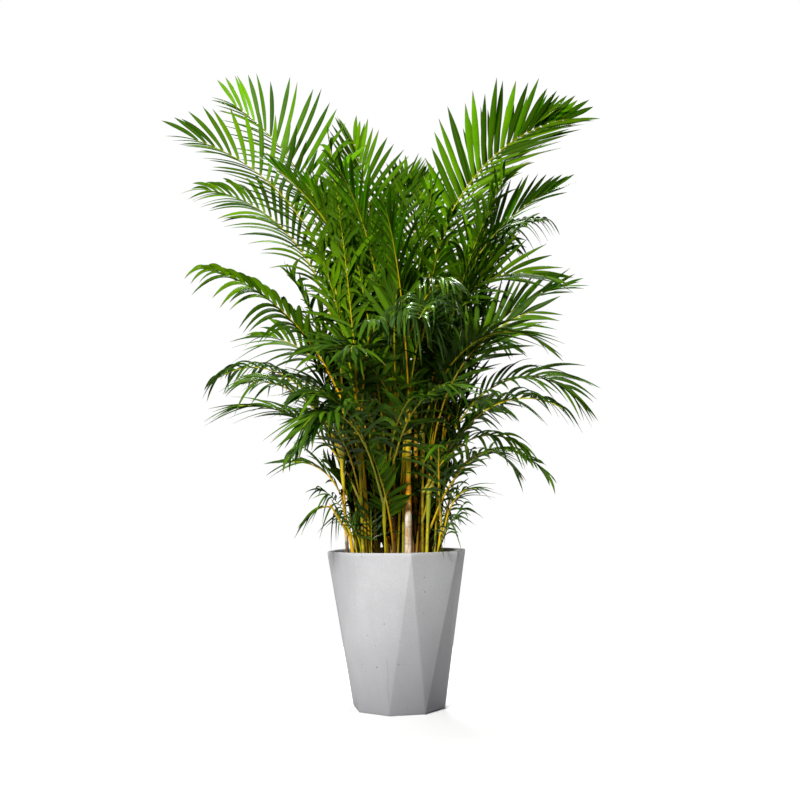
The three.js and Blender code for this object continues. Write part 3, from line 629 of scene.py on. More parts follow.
cane_nodes = cane_tree()
cane_feet = []
for name, (golden_share, pale_height, husk_height) in CANE_LOOKS.items():
    rings = level_rings(joined_points(name)[0])
    top = rings[-1][0][2]
    centres = [centre for centre, _ in rings]
    radii = [radius * (1.0 if name == OLDEST_CANE else SLIM_SHARE) for _, radius in rings]
    cane_feet.append((centres[0][0], centres[0][1], radii[0]))
    centres, radii = even_points(centres, radii, CANE_STEP)
    slimmer = [1 - CLIMB_LOSS * min(1, (centre[2] - SOIL_EDGE) / CLIMB_HEIGHT)
               - CROWN_LOSS * min(1, max(0, (centre[2] - top + CROWN_TAPER_START) / CROWN_TAPER_LENGTH))
               for centre in centres]
    radii = [radius * slim for radius, slim in zip(radii, slimmer)]
    last = centres.pop()
    wide = radii.pop()
    for drop, share in TOP_ROUNDING:
        centres.append(last - np.array((0, 0, drop)))
        radii.append(wide * share)
    rises = [centre[2] - SOIL_EDGE for centre in centres]
    bares = [1.0 if centre[2] < top - CROWN_LENGTH else 0.0 for centre in centres]
    count = len(centres)
    mesh = line_mesh(name + "_line", centres, [(i, i + 1) for i in range(count - 1)], {
        "thick": ("FLOAT", radii), "rise": ("FLOAT", rises), "bare": ("FLOAT", bares),
        "tone": ("FLOAT", [golden_share] * count), "pale_to": ("FLOAT", [pale_height] * count),
        "husk_to": ("FLOAT", [husk_height] * count)})
    cane = add_piece(name.replace("cane", "stem"), mesh)
    run_tree(cane, cane_nodes, {"Cane material": cane_finish})
    cane.data.shade_smooth()
    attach(cane, "root")
    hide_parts(name)

# ---------------------------------------------------------------- fronds and shoots
# Feather fronds. Each has an arching green-gold stalk and two rows of long folded leaflets that droop
# towards their tips. A young shoot is a short stem with a few small fronds.
LEAFLET_SPACING = 0.031
LEAFLET_WIDTH = 0.92
BLADE_THICKNESS = 0.0007
# Leaflets start to hang loosely under this height, and are loosest this far below it
LOOSE_BELOW = 1.75
LOOSE_RANGE = 0.8
# Leaflets nearer to the stalk's tip than this lie closer to it
TIP_REACH = 0.3


def distance(first, second):
    return float(np.linalg.norm(first - second))


def unit(vector):
    return vector / max(1e-9, float(np.linalg.norm(vector)))


def triangle_sides(corners, points):
    """The sides of a triangle from short to long, each as its length and its two corners."""
    a, b, c = corners
    return sorted((distance(points[p], points[q]), p, q) for p, q in ((a, b), (b, c), (c, a)))


# The coarse leaflet's shape: three corners stand round its tip, and the second longest side between
# them is at most this share of the longest
SECOND_SIDE = 0.78
SHORTEST_SIDE = 0.005


def read_leaflets(points, neighbours):
    """Root, bend, tip and half width of each coarse leaflet, and the corners that make them up."""
    leaflets = []
    used = set()
    for tip, around in enumerate(neighbours):
        if len(around) != 3:
            continue
        _, second_side, longest_side = triangle_sides(around, points)
        if second_side[0] > SECOND_SIDE * longest_side[0] or longest_side[0] < SHORTEST_SIDE:
            continue
        roots = {n for corner in around for n in neighbours[corner]} - {tip, *around}
        if len(roots) != 3:
            continue
        first, second = triangle_sides(roots, points)[0][1:]
        end = (roots - {first, second}).pop()
        ridge, low = (first, second)
        if distance(points[second], points[end]) < distance(points[first], points[end]):
            ridge, low = (second, first)
        along = unit(points[end] - points[ridge])
        near, far = longest_side[1:]
        if np.dot(points[far] - points[near], along) < 0:
            near, far = far, near
        bend = (points[near] + points[far]) / 2
        root = (points[ridge] + points[end] + points[low]) / 3
        across = np.cross(along, bend - root)
        sign = -1.0 if np.dot(across, points[ridge] - points[low]) > 0 else 1.0
        used |= {tip, *around}
        leaflets.append({
            "root": root, "bend": bend, "tip": points[tip], "ridge": ridge, "sign": sign,
            "side": (points[far] - points[near]) / 2 * sign})
    return leaflets, used


def walk_from(starts, points, neighbours, closed):
    """Distance of each stalk corner from the nearest stalk tip, and which tip that is."""
    reached = {}
    queue = [(0.0, start, start) for start in starts]
    while queue:
        gone, corner, start = heapq.heappop(queue)
        if corner in reached:
            continue
        reached[corner] = (gone, start)
        for other in neighbours[corner]:
            if other not in reached and other not in closed:
                heapq.heappush(queue, (gone + distance(points[corner], points[other]), other, start))
    return reached


# The three corners round a stalk's tip make a small triangle with one short side
SHORT_SIDE = 0.5
EVEN_SIDE = 0.8
WIDEST_TIP = 0.02


def stalk_tips(points, neighbours, used):
    tips = []
    for corner, around in enumerate(neighbours):
        if len(around) == 3 and corner not in used and not used & set(around):
            short, even, long = (side[0] for side in triangle_sides(around, points))
            if short < SHORT_SIDE * long and even > EVEN_SIDE * long and long < WIDEST_TIP:
                tips.append(corner)
    return tips


LINE_STEP = 0.018
TIP_RADIUS = 0.0010


def centre_line(tip, points, neighbours, reached, floor_z, thickest):
    """Points down the middle of one stalk, from its tip to its foot, each with a radius."""
    own = {corner: gone for corner, (gone, start) in reached.items() if start == tip}
    edges = [(i, j) for i in own for j in neighbours[i] if j in own and i < j]
    line = [(points[tip], TIP_RADIUS)]
    level = LINE_STEP * 0.5
    longest = max(own.values())
    while level < longest - 0.004:
        crossings = []
        for i, j in edges:
            if (own[i] - level) * (own[j] - level) < 0:
                share = (level - own[i]) / (own[j] - own[i])
                crossings.append(points[i] + (points[j] - points[i]) * share)
        crossings = [p for p in crossings if distance(p, line[-1][0]) < 1.8 * LINE_STEP]
        if len(crossings) >= 3:
            centre = np.mean(crossings, axis=0)
            if centre[2] < floor_z:
                break
            radius = float(np.linalg.norm(np.array(crossings) - centre, axis=1).mean())
            line.append((centre, min(radius * 1.15, thickest)))
        level += LINE_STEP
    return line


def smooth_line(line, passes=3):
    centres = np.array([p for p, _ in line])
    for _ in range(passes):
        centres[1:-1] = (centres[:-2] + 2 * centres[1:-1] + centres[2:]) / 4
    return [(p, r) for p, (_, r) in zip(centres, line)]


def grown_leaflet(leaf, forwards, place, side, random, habit):
    """Gives one leaflet its own length, lean, hang and width."""
    # Low down in the shade it hangs more loosely
    loose = min(1.0, max(0.0, (LOOSE_BELOW - leaf["bend"][2]) / LOOSE_RANGE))
    stretch = habit["length"][side] * (1 + random.uniform(-0.07, 0.05 + 0.06 * loose))
    bend = (leaf["bend"] - leaf["root"]) * stretch
    reach = (leaf["tip"] - leaf["root"]) * stretch
    span = float(np.linalg.norm(reach))
    # Near the stalk's tip, and low down, it lies closer to the stalk
    lean = habit["lean"][side] + 0.5 * max(0.0, 1 - place / TIP_REACH) + 0.3 * loose
    forwards = forwards * span * lean
    bend = unit(bend + forwards * 0.5) * float(np.linalg.norm(bend))
    reach = unit(reach + forwards) * span
    wander = random.normal(0, 0.035 + 0.095 * loose, 3) * span
    wander[2] -= abs(random.normal(0, 0.16)) * loose * span
    rise = np.array((0, 0, habit["curl"] * span))
    width = LEAFLET_WIDTH * habit["width"][side] * (1 - random.uniform(0, 0.35) * loose)
    return {
        "root": leaf["root"], "bend": leaf["root"] + bend + wander * 0.3 + rise * 0.5,
        "tip": leaf["root"] + reach * (1 - 0.6 * habit["curl"]) + wander - rise,
        "side": leaf["side"] * width, "shoulder": 0.62 - 0.32 * loose}


def between_leaflets(leaflets, reached, random, habit):
    """A full row of leaflets along each side of a stalk, from the coarse ones that mark its shape."""
    rows = []
    for tip in sorted({reached[leaf["ridge"]][1] for leaf in leaflets}):
        for side, sign in enumerate((1.0, -1.0)):
            row = [leaf for leaf in leaflets if leaf["sign"] == sign and reached[leaf["ridge"]][1] == tip]
            row.sort(key=lambda leaf: reached[leaf["ridge"]][0])
            if len(row) < 2:
                continue
            places = [reached[leaf["ridge"]][0] for leaf in row]
            count = max(2, round((places[-1] - places[0]) / habit["spacing"]) + 1)
            for k in range(count):
                place = places[0] + (places[-1] - places[0]) * k / (count - 1)
                i = min(len(row) - 2, max(0, int(np.searchsorted(places, place, side="right")) - 1))
                share = (place - places[i]) / max(1e-6, places[i + 1] - places[i])
                first, second = row[i], row[i + 1]
                leaf = {key: first[key] * (1 - share) + second[key] * share
                        for key in ("root", "bend", "tip", "side")}
                forwards = unit(first["root"] - second["root"])
                rows.append(grown_leaflet(leaf, forwards, place, side, random, habit))
    return rows


def vector_math(tree, operation, *values):
    places = [0, "Scale"] if operation == "SCALE" else [0, 1, 2]
    node = add_node(tree, "ShaderNodeVectorMath", dict(zip(places, values)), operation=operation)
    return node.outputs["Value" if operation in ("LENGTH", "DOT_PRODUCT") else "Vector"]


def scaled(tree, vector, size):
    return vector_math(tree, "SCALE", vector, size)


def added(tree, first, second):
    return vector_math(tree, "ADD", first, second)


BLADE_STEPS = 9


def frond_tree():
    tree = new_tree("Palm frond")
    tree_input(tree, "Blade thickness", "NodeSocketFloat", BLADE_THICKNESS)
    tree_input(tree, "Blade fold", "NodeSocketFloat", 0.42)
    tree_input(tree, "Blade twist", "NodeSocketFloat", 0.5)
    tree_input(tree, "Stalk sides", "NodeSocketInt", 10)
    tree_input(tree, "Seed", "NodeSocketInt", 0)
    tree_input(tree, "Blade material", "NodeSocketMaterial")
    tree_input(tree, "Stalk material", "NodeSocketMaterial")
    given = add_node(tree, "NodeGroupInput").outputs
    is_blade = named(tree, "is_blade", "BOOLEAN")
    split = add_node(tree, "GeometryNodeSeparateGeometry", {
        "Geometry": given["Geometry"], "Selection": is_blade}, domain="POINT").outputs

    # Stalks: smooth tubes along their centre lines
    curve = add_node(tree, "GeometryNodeMeshToCurve", {"Mesh": split["Inverted"]}).outputs[0]
    curve = add_node(tree, "GeometryNodeCurveSplineType", {"Curve": curve}, spline_type="CATMULL_ROM")
    curve = add_node(tree, "GeometryNodeSetSplineResolution", {
        "Geometry": curve.outputs[0], "Resolution": 2}).outputs[0]
    profile = add_node(tree, "GeometryNodeCurvePrimitiveCircle", {
        "Resolution": given["Stalk sides"], "Radius": 1.0}, mode="RADIUS").outputs["Curve"]
    tube = add_node(tree, "GeometryNodeCurveToMesh", {
        "Curve": curve, "Profile Curve": profile, "Scale": named(tree, "thick"),
        "Fill Caps": True}).outputs[0]
    tube = add_node(tree, "GeometryNodeSetMaterial", {
        "Geometry": tube, "Material": given["Stalk material"]}).outputs[0]

    # One flat closed blade: its corners carry their place along, across and through it
    cube = add_node(tree, "GeometryNodeMeshCube", {
        "Size": (1.0, 2.0, 2.0), "Vertices X": BLADE_STEPS + 1, "Vertices Y": 3,
        "Vertices Z": 2}).outputs["Mesh"]
    place = add_node(tree, "ShaderNodeSeparateXYZ", {
        "Vector": add_node(tree, "GeometryNodeInputPosition").outputs[0]}).outputs
    cube = stored(tree, cube, "along", calculate(tree, "ADD", place[0], 0.5))
    cube = stored(tree, cube, "across", place[1])
    cube = stored(tree, cube, "skin", place[2])
    facing = add_node(tree, "ShaderNodeSeparateXYZ", {
        "Vector": add_node(tree, "GeometryNodeInputNormal").outputs[0]}).outputs[2]
    flat = calculate(tree, "GREATER_THAN", calculate(tree, "ABSOLUTE", facing), 0.5)
    cube = add_node(tree, "GeometryNodeSetShadeSmooth", {"Geometry": cube, "Shade Smooth": flat}).outputs[0]

    leaves = split["Selection"]
    chance = add_node(tree, "FunctionNodeRandomValue", {"Seed": given["Seed"]}, data_type="FLOAT")
    leaves = stored(tree, leaves, "tint", chance.outputs[1])
    turn_seed = calculate(tree, "ADD", given["Seed"], 7.0)
    turn = add_node(tree, "FunctionNodeRandomValue", {"Seed": turn_seed}, data_type="FLOAT").outputs[1]
    turn = times(tree, calculate(tree, "SUBTRACT", turn, 0.5), given["Blade twist"])
    leaves = stored(tree, leaves, "turn", times(tree, turn, 2.0))
    blades = add_node(tree, "GeometryNodeInstanceOnPoints", {"Points": leaves, "Instance": cube}).outputs[0]
    blades = add_node(tree, "GeometryNodeRealizeInstances", {"Geometry": blades}).outputs[0]

    # Each blade is drawn out along a curve from its root past its bend to its tip
    root, bend, tip, side = (
        named(tree, name, "FLOAT_VECTOR") for name in ("root", "bend", "tip", "side"))
    along, across, skin = (named(tree, name) for name in ("along", "across", "skin"))
    back = calculate(tree, "SUBTRACT", 1.0, along)
    ends = scaled(tree, added(tree, root, tip), -0.25)
    pull = added(tree, scaled(tree, bend, 1.5), ends)
    weight_root = times(tree, back, back)
    weight_pull = times(tree, times(tree, along, back), 2.0)
    weight_tip = times(tree, along, along)
    middle = added(tree, scaled(tree, root, weight_root), scaled(tree, pull, weight_pull))
    middle = added(tree, middle, scaled(tree, tip, weight_tip))
    first_leg = scaled(tree, vector_math(tree, "SUBTRACT", pull, root), back)
    last_leg = scaled(tree, vector_math(tree, "SUBTRACT", tip, pull), along)
    heading = vector_math(tree, "NORMALIZE", added(tree, first_leg, last_leg))
    leaning = scaled(tree, heading, vector_math(tree, "DOT_PRODUCT", side, heading))
    level_side = vector_math(tree, "NORMALIZE", vector_math(tree, "SUBTRACT", side, leaning))
    half = vector_math(tree, "LENGTH", side)
    top = vector_math(tree, "CROSS_PRODUCT", heading, level_side)
    twist = times(tree, named(tree, "turn"), along)
    cosine, sine = calculate(tree, "COSINE", twist), calculate(tree, "SINE", twist)
    wide = added(tree, scaled(tree, level_side, cosine), scaled(tree, top, sine))
    high = vector_math(tree, "SUBTRACT", scaled(tree, top, cosine), scaled(tree, level_side, sine))
    # Narrower at the root, at full width up to its shoulder, and rounded from there to a point
    swell = remap(tree, along, 0.0, 0.38, 0.5, 1.0)
    outer = remap(tree, along, named(tree, "shoulder"), 1.0)
    taper = calculate(tree, "SUBTRACT", 1.0, times(tree, outer, outer))
    width = times(tree, swell, calculate(tree, "MAXIMUM", taper, 0.03))
    spread = times(tree, times(tree, width, half), across)
    fold = times(tree, given["Blade fold"], calculate(tree, "MULTIPLY_ADD", along, -0.6, 1.0))
    drop = times(tree, calculate(tree, "ABSOLUTE", spread), fold)
    rib = calculate(tree, "MULTIPLY_ADD", calculate(tree, "ABSOLUTE", across), -0.9, 1.9)
    thick = times(tree, times(tree, given["Blade thickness"], 0.5), rib)
    thick = times(tree, thick, calculate(tree, "MULTIPLY_ADD", along, -0.6, 1.0))
    lifted = calculate(tree, "SUBTRACT", times(tree, thick, skin), drop)
    position = added(tree, middle, scaled(tree, wide, spread))
    position = added(tree, position, scaled(tree, high, lifted))
    blades = add_node(tree, "GeometryNodeSetPosition", {"Geometry": blades, "Position": position}).outputs[0]
    for name in ("root", "bend", "tip", "side", "turn", "thick", "shoulder", "is_blade"):
        blades = add_node(tree, "GeometryNodeRemoveAttribute", {"Geometry": blades, "Name": name}).outputs[0]
    blades = add_node(tree, "GeometryNodeSetMaterial", {
        "Geometry": blades, "Material": given["Blade material"]}).outputs[0]
    joined = add_node(tree, "GeometryNodeJoinGeometry")
    tree.links.new(blades, joined.inputs[0])
    tree.links.new(tube, joined.inputs[0])
    add_node(tree, "NodeGroupOutput", {"Geometry": joined.outputs[0]})
    return tree


blade_finish, tree, spot = blank_material("palm leaflet")
along, across, skin, tint, glow, wax = (
    value_of(tree, name) for name in ("along", "across", "skin", "tint", "glow", "wax"))
mottle = noise_value(tree, spot, 9.0, 4.0, 0.6)
cells = noise_value(tree, spot, 130.0, 3.0, 0.6)
# Most leaflets are dark, and a few much fresher
fresher = times(tree, tint, tint)
deep = mix_colour(tree, fresher, (0.0010, 0.005, 0.0005, 1), (0.028, 0.085, 0.001, 1))
fresh = mix_colour(tree, fresher, (0.030, 0.098, 0.001, 1), (0.215, 0.440, 0.002, 1))
# Painted light and shade: the painted light share gives leaflets in the light the fresh green, and the deep
# green, as painted shade, to those inside the clump
green = mix_colour(tree, glow, deep, fresh)
green = mix_colour(tree, remap(tree, mottle, 0.35, 0.75, 0.0, 0.5), green, (0.014, 0.050, 0.002, 1))
# Fine lengthwise veins, and a paler midrib and root
lines = calculate(tree, "SINE", times(tree, across, 34.0))
green = mix_colour(tree, remap(tree, lines, 0.2, 1.0, 0.0, 0.14), green, (0.16, 0.30, 0.01, 1))
mid = remap(tree, calculate(tree, "ABSOLUTE", across), 0.02, 0.10, 1.0, 0.0)
green = mix_colour(tree, times(tree, mid, 0.4), green, (0.20, 0.34, 0.01, 1))
green = mix_colour(tree, remap(tree, along, 0.0, 0.06, 0.6, 0.0), green, (0.22, 0.26, 0.01, 1))
under = remap(tree, skin, -0.1, 0.1, 0.3, 0.0)
green = mix_colour(tree, under, green, (0.07, 0.14, 0.004, 1))
# A waxy leaflet has a pale bloom
bloom = times(tree, wax, remap(tree, mottle, 0.3, 0.7, 0.10, 0.30))
green = mix_colour(tree, bloom, green, (0.20, 0.36, 0.11, 1))
# The odd leaflet has a dry brown tip
dry = times(tree, remap(tree, along, 0.86, 0.99), remap(tree, tint, 0.72, 0.8))
green = mix_colour(tree, times(tree, dry, 0.9), green, (0.20, 0.10, 0.03, 1))
height = calculate(tree, "MULTIPLY_ADD", lines, 0.5, cells)
rough = remap(tree, mottle, 0.3, 0.7, 0.30, 0.46)
surface = bumpy_shader(tree, green, rough, height, 0.3, 0.0006, {
    "Specular IOR Level": 0.06, "Coat Roughness": 0.17,
    "Coat Weight": times(tree, wax, remap(tree, cells, 0.3, 0.7, 0.6, 1.0))})
# Daylight shows through it, most of all through a fresh leaflet, and more through those painted in the light
clear = times(tree, calculate(tree, "MULTIPLY_ADD", glow, 0.62, 0.04),
              remap(tree, fresher, 0, 1, 0.3, 1.7))
light_through = mix_colour(tree, clear, green, (0.24, 0.60, 0.001, 1))
through = add_node(tree, "ShaderNodeBsdfTranslucent", {"Color": light_through})
both = add_node(tree, "ShaderNodeMixShader", {0: 0.40, 1: surface, 2: through.outputs[0]})
finish_material(tree, both.outputs[0])

stalk_finish, tree, spot = blank_material("frond stalk")
gone = value_of(tree, "gone")
warm = value_of(tree, "warm")
blotch = noise_value(tree, spot, 18.0, 4.0, 0.6)
grain = lengthwise_grain(tree, spot, (300.0, 300.0, 30.0), 0.5)
gold = mix_colour(tree, warm, (0.26, 0.33, 0.006, 1), (0.72, 0.36, 0.004, 1))
green = mix_colour(tree, warm, (0.08, 0.16, 0.004, 1), (0.44, 0.42, 0.006, 1))
stalk = mix_colour(tree, remap(tree, gone, 0.25, 0.9), gold, green)
stalk = mix_colour(tree, remap(tree, blotch, 0.5, 0.75, 0.0, 0.5), stalk, (0.10, 0.16, 0.015, 1))
stalk = mix_colour(tree, remap(tree, gone, 0.0, 0.10, 0.6, 0.0), stalk, (0.22, 0.26, 0.05, 1))
rough = remap(tree, blotch, 0.3, 0.7, 0.32, 0.5)
finish_material(tree, bumpy_shader(tree, stalk, rough, grain, 0.3, 0.0008, {"Specular IOR Level": 0.2}))

frond_nodes = frond_tree()


def leafy_piece(name, stalks, blades, seed, shade, warmth, wax, finish=blade_finish):
    """One piece of stalks, each a list of centre, radius and share of its length, and blades."""
    lines, first = [], 0
    for stalk in stalks:
        lines += [(first + k, first + k + 1) for k in range(len(stalk) - 1)]
        first += len(stalk)
    centres, thick, gone = ([ring[k] for stalk in stalks for ring in stalk] for k in range(3))
    heights = np.array([leaf["bend"][2] for leaf in blades])
    spread = np.array([math.hypot(leaf["bend"][0], leaf["bend"][1]) for leaf in blades])
    # Painted light and shade: the outer and upper leaflets are painted a fresher green than the inner ones,
    # which are painted darker as shade, and each piece's shade moves this up or down
    outer = np.clip((spread - 0.05) / 0.26, 0, 1)
    upper = np.clip((heights - 0.7) / 0.7, 0, 1)
    topmost = np.clip((heights - 1.4) / 0.4, 0, 1)
    glow = np.clip(0.5 * outer + 0.35 * upper + 0.30 * topmost + shade, 0, 0.85)
    stalk_points, leaf_count = len(centres), len(blades)
    total = stalk_points + leaf_count
    values = {
        "thick": ("FLOAT", thick + [0.0] * leaf_count),
        "gone": ("FLOAT", gone + [0.0] * leaf_count),
        "is_blade": ("BOOLEAN", [False] * stalk_points + [True] * leaf_count),
        "glow": ("FLOAT", [0.0] * stalk_points + list(glow)),
        "shoulder": ("FLOAT", [0.0] * stalk_points + [leaf["shoulder"] for leaf in blades]),
        "warm": ("FLOAT", [warmth] * total),
        "wax": ("FLOAT", [wax] * total)}
    for part in ("root", "bend", "tip", "side"):
        ends = [(0.0, 0.0, 0.0)] * stalk_points + [tuple(leaf[part]) for leaf in blades]
        values[part] = ("FLOAT_VECTOR", ends)
    mesh = line_mesh(name + "_lines", centres + [leaf["root"] for leaf in blades], lines, values)
    piece = add_piece(name, mesh)
    run_tree(piece, frond_nodes, {
        "Seed": seed, "Blade material": finish, "Stalk material": stalk_finish})
    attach(piece, "root")
    return piece


# How the leaflets of a frond usually grow: how far they lean along the stalk, and their width and
# length, for one row and the other; then their spacing, how much they curl over, and their wax
USUAL_HABIT = {"lean": (0.0, 0.0), "width": (1.0, 1.0), "length": (1.0, 1.0), "spacing": LEAFLET_SPACING,
               "curl": 0.0, "wax": 0.0}
FROND_HABITS = {
    "frond_01": {"width": (0.95, 0.45), "length": (1.08, 0.9), "lean": (-0.45, 0.3), "curl": 0.05},
    "frond_02": {"width": (0.90, 0.45), "length": (1.0, 0.85), "lean": (-0.40, 0.3), "curl": 0.05},
    "frond_03": {"width": (0.75, 0.75), "lean": (0.2, 0.2), "curl": 0.12},
    "frond_04": {"length": (0.70, 1.15), "lean": (0.5, 0.0), "curl": 0.20},
    "frond_05": {"length": (1.15, 1.15), "curl": 0.10},
    "frond_06": {"width": (0.9, 0.9), "spacing": 0.026, "curl": 0.10, "wax": 0.5},
    "frond_09": {"lean": (0.50, 0.0), "width": (0.80, 1.25)},
    "frond_10": {"lean": (0.50, -0.1), "width": (0.70, 0.80), "spacing": 0.030, "length": (0.95, 0.85)},
    "frond_11": {"curl": 0.35, "length": (0.95, 0.60), "lean": (0.0, 0.4)},
    "frond_14": {"width": (0.9, 0.9), "spacing": 0.026, "curl": 0.10, "wax": 0.3},
    "frond_15": {"length": (0.85, 0.85), "curl": 0.15},
    "frond_18": {"lean": (0.2, 0.2), "width": (0.75, 0.75), "spacing": 0.019, "curl": 0.30, "wax": 1.0},
    "frond_22": {"lean": (0.3, 0.3), "width": (0.70, 0.70)},
    "frond_28": {"lean": (0.6, 0.6), "width": (0.55, 0.55), "spacing": 0.028},
    "frond_32": {"lean": (0.6, 0.6), "width": (0.55, 0.55), "spacing": 0.028},
    "frond_33": {"lean": (0.4, 0.4), "width": (0.65, 0.65), "spacing": 0.028},
    "frond_40": {"length": (0.80, 0.80), "curl": 0.20},
    "frond_43": {"length": (0.80, 0.80), "curl": 0.20},
    "frond_44": {"lean": (0.3, 0.3), "width": (0.65, 0.65), "spacing": 0.024, "curl": 0.20, "wax": 0.5},
    "frond_47": {"length": (0.72, 0.72), "curl": 0.25},
}
STALK_RADIUS = 0.0058
YOUNG_STALK_RADIUS = 0.0030
# The sheath at a stalk's foot: how much wider it is there, and its length
SHEATH_GRIP = 0.0014
SHEATH_LENGTH = 0.12
# A young stem wider than this is drawn slimmer
WIDEST_YOUNG_STEM = 0.006
YOUNG_STEM_SHARE = 0.48
# Fronds whose leaflets hang lower than this on average keep at least this much wax
MOIST_BELOW = 1.3
MOIST_WAX = 0.3
leafy = sorted(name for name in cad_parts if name.startswith(("frond", "shoot")))
for number, name in enumerate(leafy):
    random = np.random.default_rng(100 + number)
    points, neighbours = joined_points(name)
    leaflets, used = read_leaflets(points, neighbours)
    tips = stalk_tips(points, neighbours, used)
    young = name.startswith("shoot")
    rings = level_rings(points) if young else []
    floor_z = rings[-1][0][2] + 0.004 if young else -1.0
    reached = walk_from(tips, points, neighbours, used)
    stalks = []
    for tip in tips:
        thickest = YOUNG_STALK_RADIUS if young else STALK_RADIUS
        line = smooth_line(centre_line(tip, points, neighbours, reached, floor_z, thickest))
        line.reverse()
        foot, foot_radius = line[0]
        if young:
            line.insert(0, (rings[-1][0] - np.array((0, 0, 0.02)), 0.005))
        else:
            # The stalk's foot widens into a sheath that grips the cane
            line.insert(0, (foot - unit(line[1][0] - foot) * 0.03, foot_radius))
        stalk = []
        for k, (centre, radius) in enumerate(line):
            grip = max(0.0, 1 - k * LINE_STEP / SHEATH_LENGTH) ** 2
            stalk.append((centre, radius + (0.0 if young else SHEATH_GRIP * grip), k / (len(line) - 1)))
        stalks.append(stalk)
    if young:
        stalks.append([(centre, r if r < WIDEST_YOUNG_STEM else YOUNG_STEM_SHARE * r, 0.1)
                       for centre, r in rings])
    habit = {**USUAL_HABIT, **FROND_HABITS.get(name, {})}
    # The low ones, in moister air, keep more of their wax
    low = sum(leaf["tip"][2] for leaf in leaflets) / len(leaflets) < MOIST_BELOW
    wax = max(habit["wax"], MOIST_WAX if low else 0.0)
    blades = between_leaflets(leaflets, reached, random, habit)
    # Each frond gets a random shift of its painted light and shade, up or down
    shade, warmth = float(random.uniform(-0.28, 0.10)), float(random.uniform(0.2, 1.0))
    frond = leafy_piece("leafy_" + name, stalks, blades, number, shade, warmth, wax)
    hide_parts(name)

# ---------------------------------------------------------------- inner growth
# Thin young fronds that come up between the canes, in their shade, and small low sprays that hang
# over the rim. They are the same green tissue as the large fronds, with narrower leaflets.


def arching_stalk(foot, heading, lean, bend, length, foot_radius):
    """A stalk that leaves its foot at a lean and bends over more and more towards its tip."""
    count = max(6, round(length / LINE_STEP))
    place = np.array(foot, dtype=float)
    stalk = []
    for k in range(count + 1):
        share = k / count
        stalk.append((place, foot_radius * (1 - 0.75 * share), share))
        tilt = lean + bend * share ** 1.6
        out = math.sin(tilt)
        way = np.array((out * math.cos(heading), out * math.sin(heading), math.cos(tilt)))
        place = place + way * length / count
    return stalk


def hanging_leaflets(stalk, bare, span, half_width, droop, spacing, spread, disorder, hook, random):
    """Leaflets along both sides of a stalk, from where it stops being bare to its tip."""
    leaves = []
    length = distance(stalk[0][0], stalk[1][0]) * (len(stalk) - 1)
    count = max(4, round(length * (1 - bare) / spacing))
    for sign in (1.0, -1.0):
        for k in range(count):
            share = (k + 0.5 + 0.25 * sign) / count
            place = (bare + (1 - bare) * min(share, 0.995)) * (len(stalk) - 1)
            i = min(len(stalk) - 2, int(place))
            along = unit(stalk[i + 1][0] - stalk[i][0])
            root = stalk[i][0] + (stalk[i + 1][0] - stalk[i][0]) * (place - i)
            up = unit(np.array((0, 0, 1.0)) - along * along[2] + along * 1e-4)
            right = np.cross(along, up)
            angle = math.radians(spread * (1 - 0.55 * share) + random.normal(0, 100 * disorder))
            way = along * math.cos(angle) + right * sign * math.sin(angle) + up * random.uniform(0.05, 0.4)
            reach = span * (0.68 + 0.32 * math.sin(math.pi * min(1, 0.2 + share))) * random.uniform(0.8, 1.12)
            reach *= 1 - 0.3 * share
            fall = np.array((0, 0, -1.0)) * reach * droop * random.uniform(0.5, 1.3)
            bend = root + unit(way) * reach * 0.5 + fall * 0.16 + up * reach * 0.22 * hook
            tip = root + unit(way) * reach * (0.92 - 0.4 * hook) + fall * (0.62 + 0.3 * hook)
            tip = tip + random.normal(0, disorder, 3) * reach
            leaves.append({"root": root, "bend": bend, "tip": tip, "side": along * sign * half_width,
                           "shoulder": 0.35})
    return leaves


# How deep the feet go into the soil
ROOTED = 0.012
# Foot x and y, heading in degrees from +X, lean, bend, length, bare share, leaflet length, droop
LOW_SPRAYS = [
    (-0.128, -0.105, 190, 0.10, 0.80, 0.190, 0.60, 0.180, 0.85),
    (-0.112, -0.125, 200, 0.10, 0.60, 0.170, 0.60, 0.150, 0.60),
    (-0.118, -0.060, 160, 0.20, 0.90, 0.300, 0.55, 0.190, 1.10),
    (0.128, -0.085, 15, 0.25, 0.60, 0.210, 0.45, 0.200, 0.70),
    (0.122, -0.095, -15, 0.24, 0.60, 0.180, 0.50, 0.180, 0.95),
    (0.112, -0.060, 50, 0.30, 0.70, 0.290, 0.40, 0.190, 0.45),
    (-0.085, -0.090, 100, 0.02, 0.20, 0.200, 0.40, 0.150, 0.05),
    (0.010, 0.130, 95, 0.14, 1.20, 0.300, 0.50, 0.190, 1.00),
]
for number, (x, y, heading, lean, bend, length, bare, span, droop) in enumerate(LOW_SPRAYS):
    seed = 500 + number
    random = np.random.default_rng(seed)
    foot = (x, y, soil_height(x, y) - ROOTED)
    stalk = arching_stalk(foot, math.radians(heading), lean, bend, length, foot_radius=0.0032)
    blades = hanging_leaflets(
        stalk, bare, span, half_width=0.0036, droop=droop, spacing=0.014, spread=66, disorder=0.15,
        hook=0.2, random=random)
    name = "low_spray_%02d" % (number + 1)
    # Their shade setting paints them a little lighter, as painted light
    spray = leafy_piece(name, [stalk], blades, seed, shade=0.12, warmth=0.35, wax=0.5)

